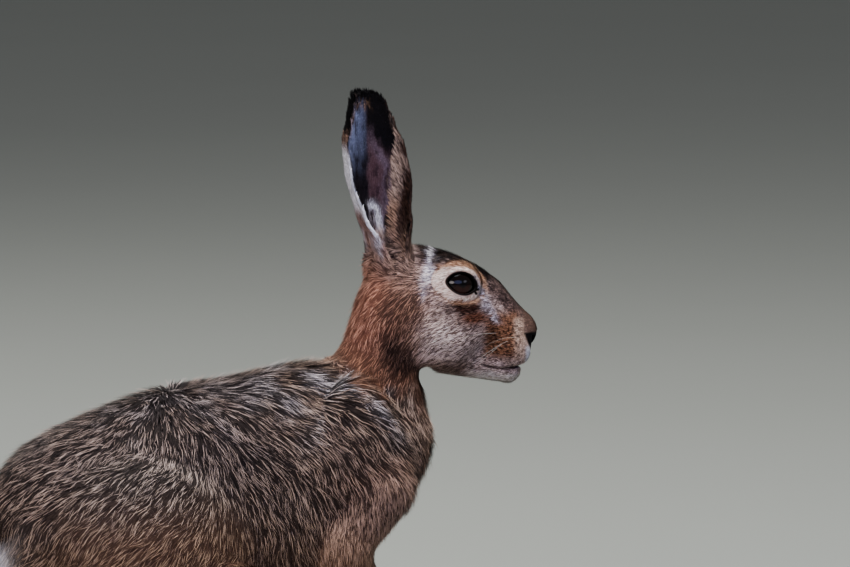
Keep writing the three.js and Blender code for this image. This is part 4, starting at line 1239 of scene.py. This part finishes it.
def whiskers():
    rng = np.random.default_rng(SEED + 5)
    paths, radii, shades = [], [], []
    for side in (-1, 1):
        for n in range(WHISKER["count"]):
            hx = 27 + 3.6 * (n % 4) + rng.uniform(-0.7, 0.7)
            hz = -34 - 3.4 * (n // 4) - 0.3 * (hx - 30)
            inside = np.linspace(2, 30, 57)
            level = [np.full_like(inside, value) for value in (hx, hz)]
            rows = from_head(np.stack([level[0], side * inside, level[1]], 1))
            value = skin_points(rows)
            hy = inside[np.argmax(value > 0)] - 0.4
            root = from_head((hx, side * hy, hz))
            long = rng.uniform(*WHISKER["length"]) * (1.2 - 0.18 * (n // 4))
            back = -0.8 + 0.1 * (n % 4) + rng.uniform(-0.15, 0.15)
            way = unit(turned(np.array([back, side * 0.6, 0.1 - 0.14 * (n // 4)])))
            s = np.linspace(0, 1, WHISKER["steps"])[:, None]
            path = root + way * long * s + np.array([-0.1, 0, -0.2]) * long * s * s
            paths.append(path)
            radii.append(WHISKER["radius"] * (1.05 - s[:, 0]))
            shades.append(srgb(30, 24, 22) if n % 3 else srgb(190, 184, 176))
    points, faces = tubes(paths, radii, 4)
    colour = np.repeat(np.array(shades), WHISKER["steps"] * 4, 0)
    return points, faces, colour


CLAW = dict(length=8, radius=1.7, rise=0.6, droop=3.0, steps=8, sides=8)


def claws(name):
    paths, radii = [], []
    for side in SIDES:
        for toe in LIMBS[(name, side["y"])][1:]:
            start, tip = np.array(toe["start"], float), np.array(toe["end"], float)
            way = unit((tip - start) * [1, 1, 0])
            s = np.linspace(0, 1, CLAW["steps"])[:, None]
            root = tip + way * TOE["radius"] * 0.1
            length = CLAW["length"] + TOE["radius"] * 0.3
            path = root + way * length * s + np.array([0, 0, CLAW["rise"]])
            path = path - np.array([0, 0, CLAW["droop"]]) * s**2
            paths.append(path)
            radii.append(CLAW["radius"] * np.sqrt(np.maximum(1 - s[:, 0] ** 1.6, 0.004)))
    return tubes(paths, radii, CLAW["sides"])


# The camera: the near eye's front at the photo's pixel, from its side and a little above
CAMERA = dict(
    azimuth=-22, elevation=6, distance=6000, scale=1.53, right=23.2, up=-1.2, width=850, sensor=36,
)


def build_camera():
    (cos, sin), (level, rise) = cos_sin(CAMERA["azimuth"]), cos_sin(CAMERA["elevation"])
    way = np.array([sin * level, -cos * level, rise])
    right = np.array([cos, sin, 0])
    front = from_head((0, -EYE_AT[1], 0)) + OFFSET
    yaw_cos, yaw_sin = cos_sin(HEAD_YAW)
    target = front + np.array([yaw_sin, -yaw_cos, 0]) * (EYE_RADIUS - 0.5)
    target = target - right * CAMERA["right"] - np.array([0, 0, CAMERA["up"]])
    data = bpy.data.cameras.new("camera")
    data.sensor_width = CAMERA["sensor"]
    data.lens = CAMERA["sensor"] * CAMERA["distance"] * CAMERA["scale"] / CAMERA["width"]
    data.clip_end = 100
    camera = linked("camera", data)
    camera.location = Vector((target + way * CAMERA["distance"]) / 1000)
    camera.rotation_euler = Vector(-way).to_track_quat("-Z", "Y").to_euler()
    bpy.context.scene.camera = camera


# Each light's name, place and size in metres, power in watts and colour, all turned to one point
LIGHTS = [
    ("key", (0.5, -0.75, 2.6), (0.9, 0.9), 110, (1.0, 0.97, 0.93)),
    ("sky", (-0.4, -0.5, 2.4), (1.8, 1.8), 45, (0.86, 0.93, 1.0)),
    ("fill", (-2.3, -1.6, 0.85), (1.7, 0.8), 48, (1.0, 0.9, 0.88)),
    ("blue", (-0.7, -2.7, 1.0), (2.8, 1.1), 30, (0.34, 0.42, 1.0)),
    ("front", (1.5, -2.2, 0.95), (1.0, 0.6), 6, (0.86, 0.84, 1.0)),
    ("rim", (-0.6, 1.9, 1.8), (1.4, 1.4), 40, (1.0, 0.98, 0.95)),
]
LIT_POINT = (0, 0, 0.18)


def build_stage():
    for name, place, size, power, colour in LIGHTS:
        data = bpy.data.lights.new(name, "AREA")
        data.shape = "ELLIPSE"
        data.size, data.size_y = size
        data.energy = power
        data.color = colour
        lamp = linked(name, data)
        lamp.location = place
        lamp.rotation_euler = (Vector(place) - Vector(LIT_POINT)).to_track_quat("Z", "Y").to_euler()
    world = bpy.data.worlds.new("studio")
    world.use_nodes = True
    world.node_tree.nodes["Background"].inputs["Color"].default_value = (0.9, 0.92, 0.95, 1)
    world.node_tree.nodes["Background"].inputs["Strength"].default_value = 0.3
    bpy.context.scene.world = world
    bpy.ops.mesh.primitive_plane_add(size=24, location=(0, 0, 0))
    floor = bpy.context.object
    floor.name = "floor"
    floor.data.materials.append(plain_material("floor_grey", (0.2, 0.21, 0.19), 0.9, 3.0, 0.02))


FLESH = ["head", "neck", "torso", "tail"] + [
    f"{name}_{side['name']}"
    for name in ("ear", "thigh", "foreleg", "hindfoot", "forepaw")
    for side in SIDES
]


def build():
    build_camera()
    build_stage()
    rng = np.random.default_rng(SEED)
    points, faces, normals = build_skin()
    uv = unwrap(points, faces)
    r = regions(points)
    base, tip, naked = colours(r, points)
    skin_coat = coat_material("skin_coat", 0.7, 420.0, 0.8)
    skin = mesh_of("skin", points, faces, "coat", skin_coat)
    under = base + (tip - base) * 0.25
    paint(skin, under * (1 - naked[:, None]) + base * naked[:, None])
    unwrap_piece(skin, uv)
    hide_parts(*FLESH)
    fur = coat_material("fur_coat", 0.55, 260.0, 0.0)
    surface_data = (points, faces, normals, uv)
    centre = regions(points[faces].mean(1))
    density = density_at(centre)
    share = centre["share"]
    long_share = share["trunk"] + share["thigh"] + share["tail"]
    body, ears, head = long_share > 0.5, share["ear"] > 0.5, share["head"] > 0.5
    for name, slot, where, part, pale, steps in (
        ("coat_under", "back_coat", body, 0.9, 0.08, 2),
        ("coat_over", "back_coat", body, 0.16, 1, 4),
        ("coat_ears", "ear_coat", ears, 1, 0.55, 2),
        ("coat_head", "coat", head, 1, 0.5, 2),
        ("coat_legs", "pale_coat", ~(body | ears | head), 1, 0.55, 3),
    ):
        tufts = tufts_over(surface_data, density * where * part, pale, steps, rng)
        coat_pieces(name, tufts, steps, slot, fur)
    wet = painted_material("eye_wet", EYE_WET, 900.0, 2.0, 0.4)
    for side in SIDES:
        *shape, colour = ball(side["y"])
        piece = mesh_of(f"eyeball_{side['name']}", *shape, "eye", wet)
        paint(piece, colour)
        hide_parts(f"eye_{side['name']}")
    *shape, colour = whiskers()
    paint(mesh_of("whiskers", *shape, "coat", fur), colour)
    horn = plain_material("claw_horn", (0.03, 0.022, 0.018), 0.35)
    for name in ("paw", "foot"):
        mesh_of(f"claws_{name}", *claws(name), "claw", horn)


build()
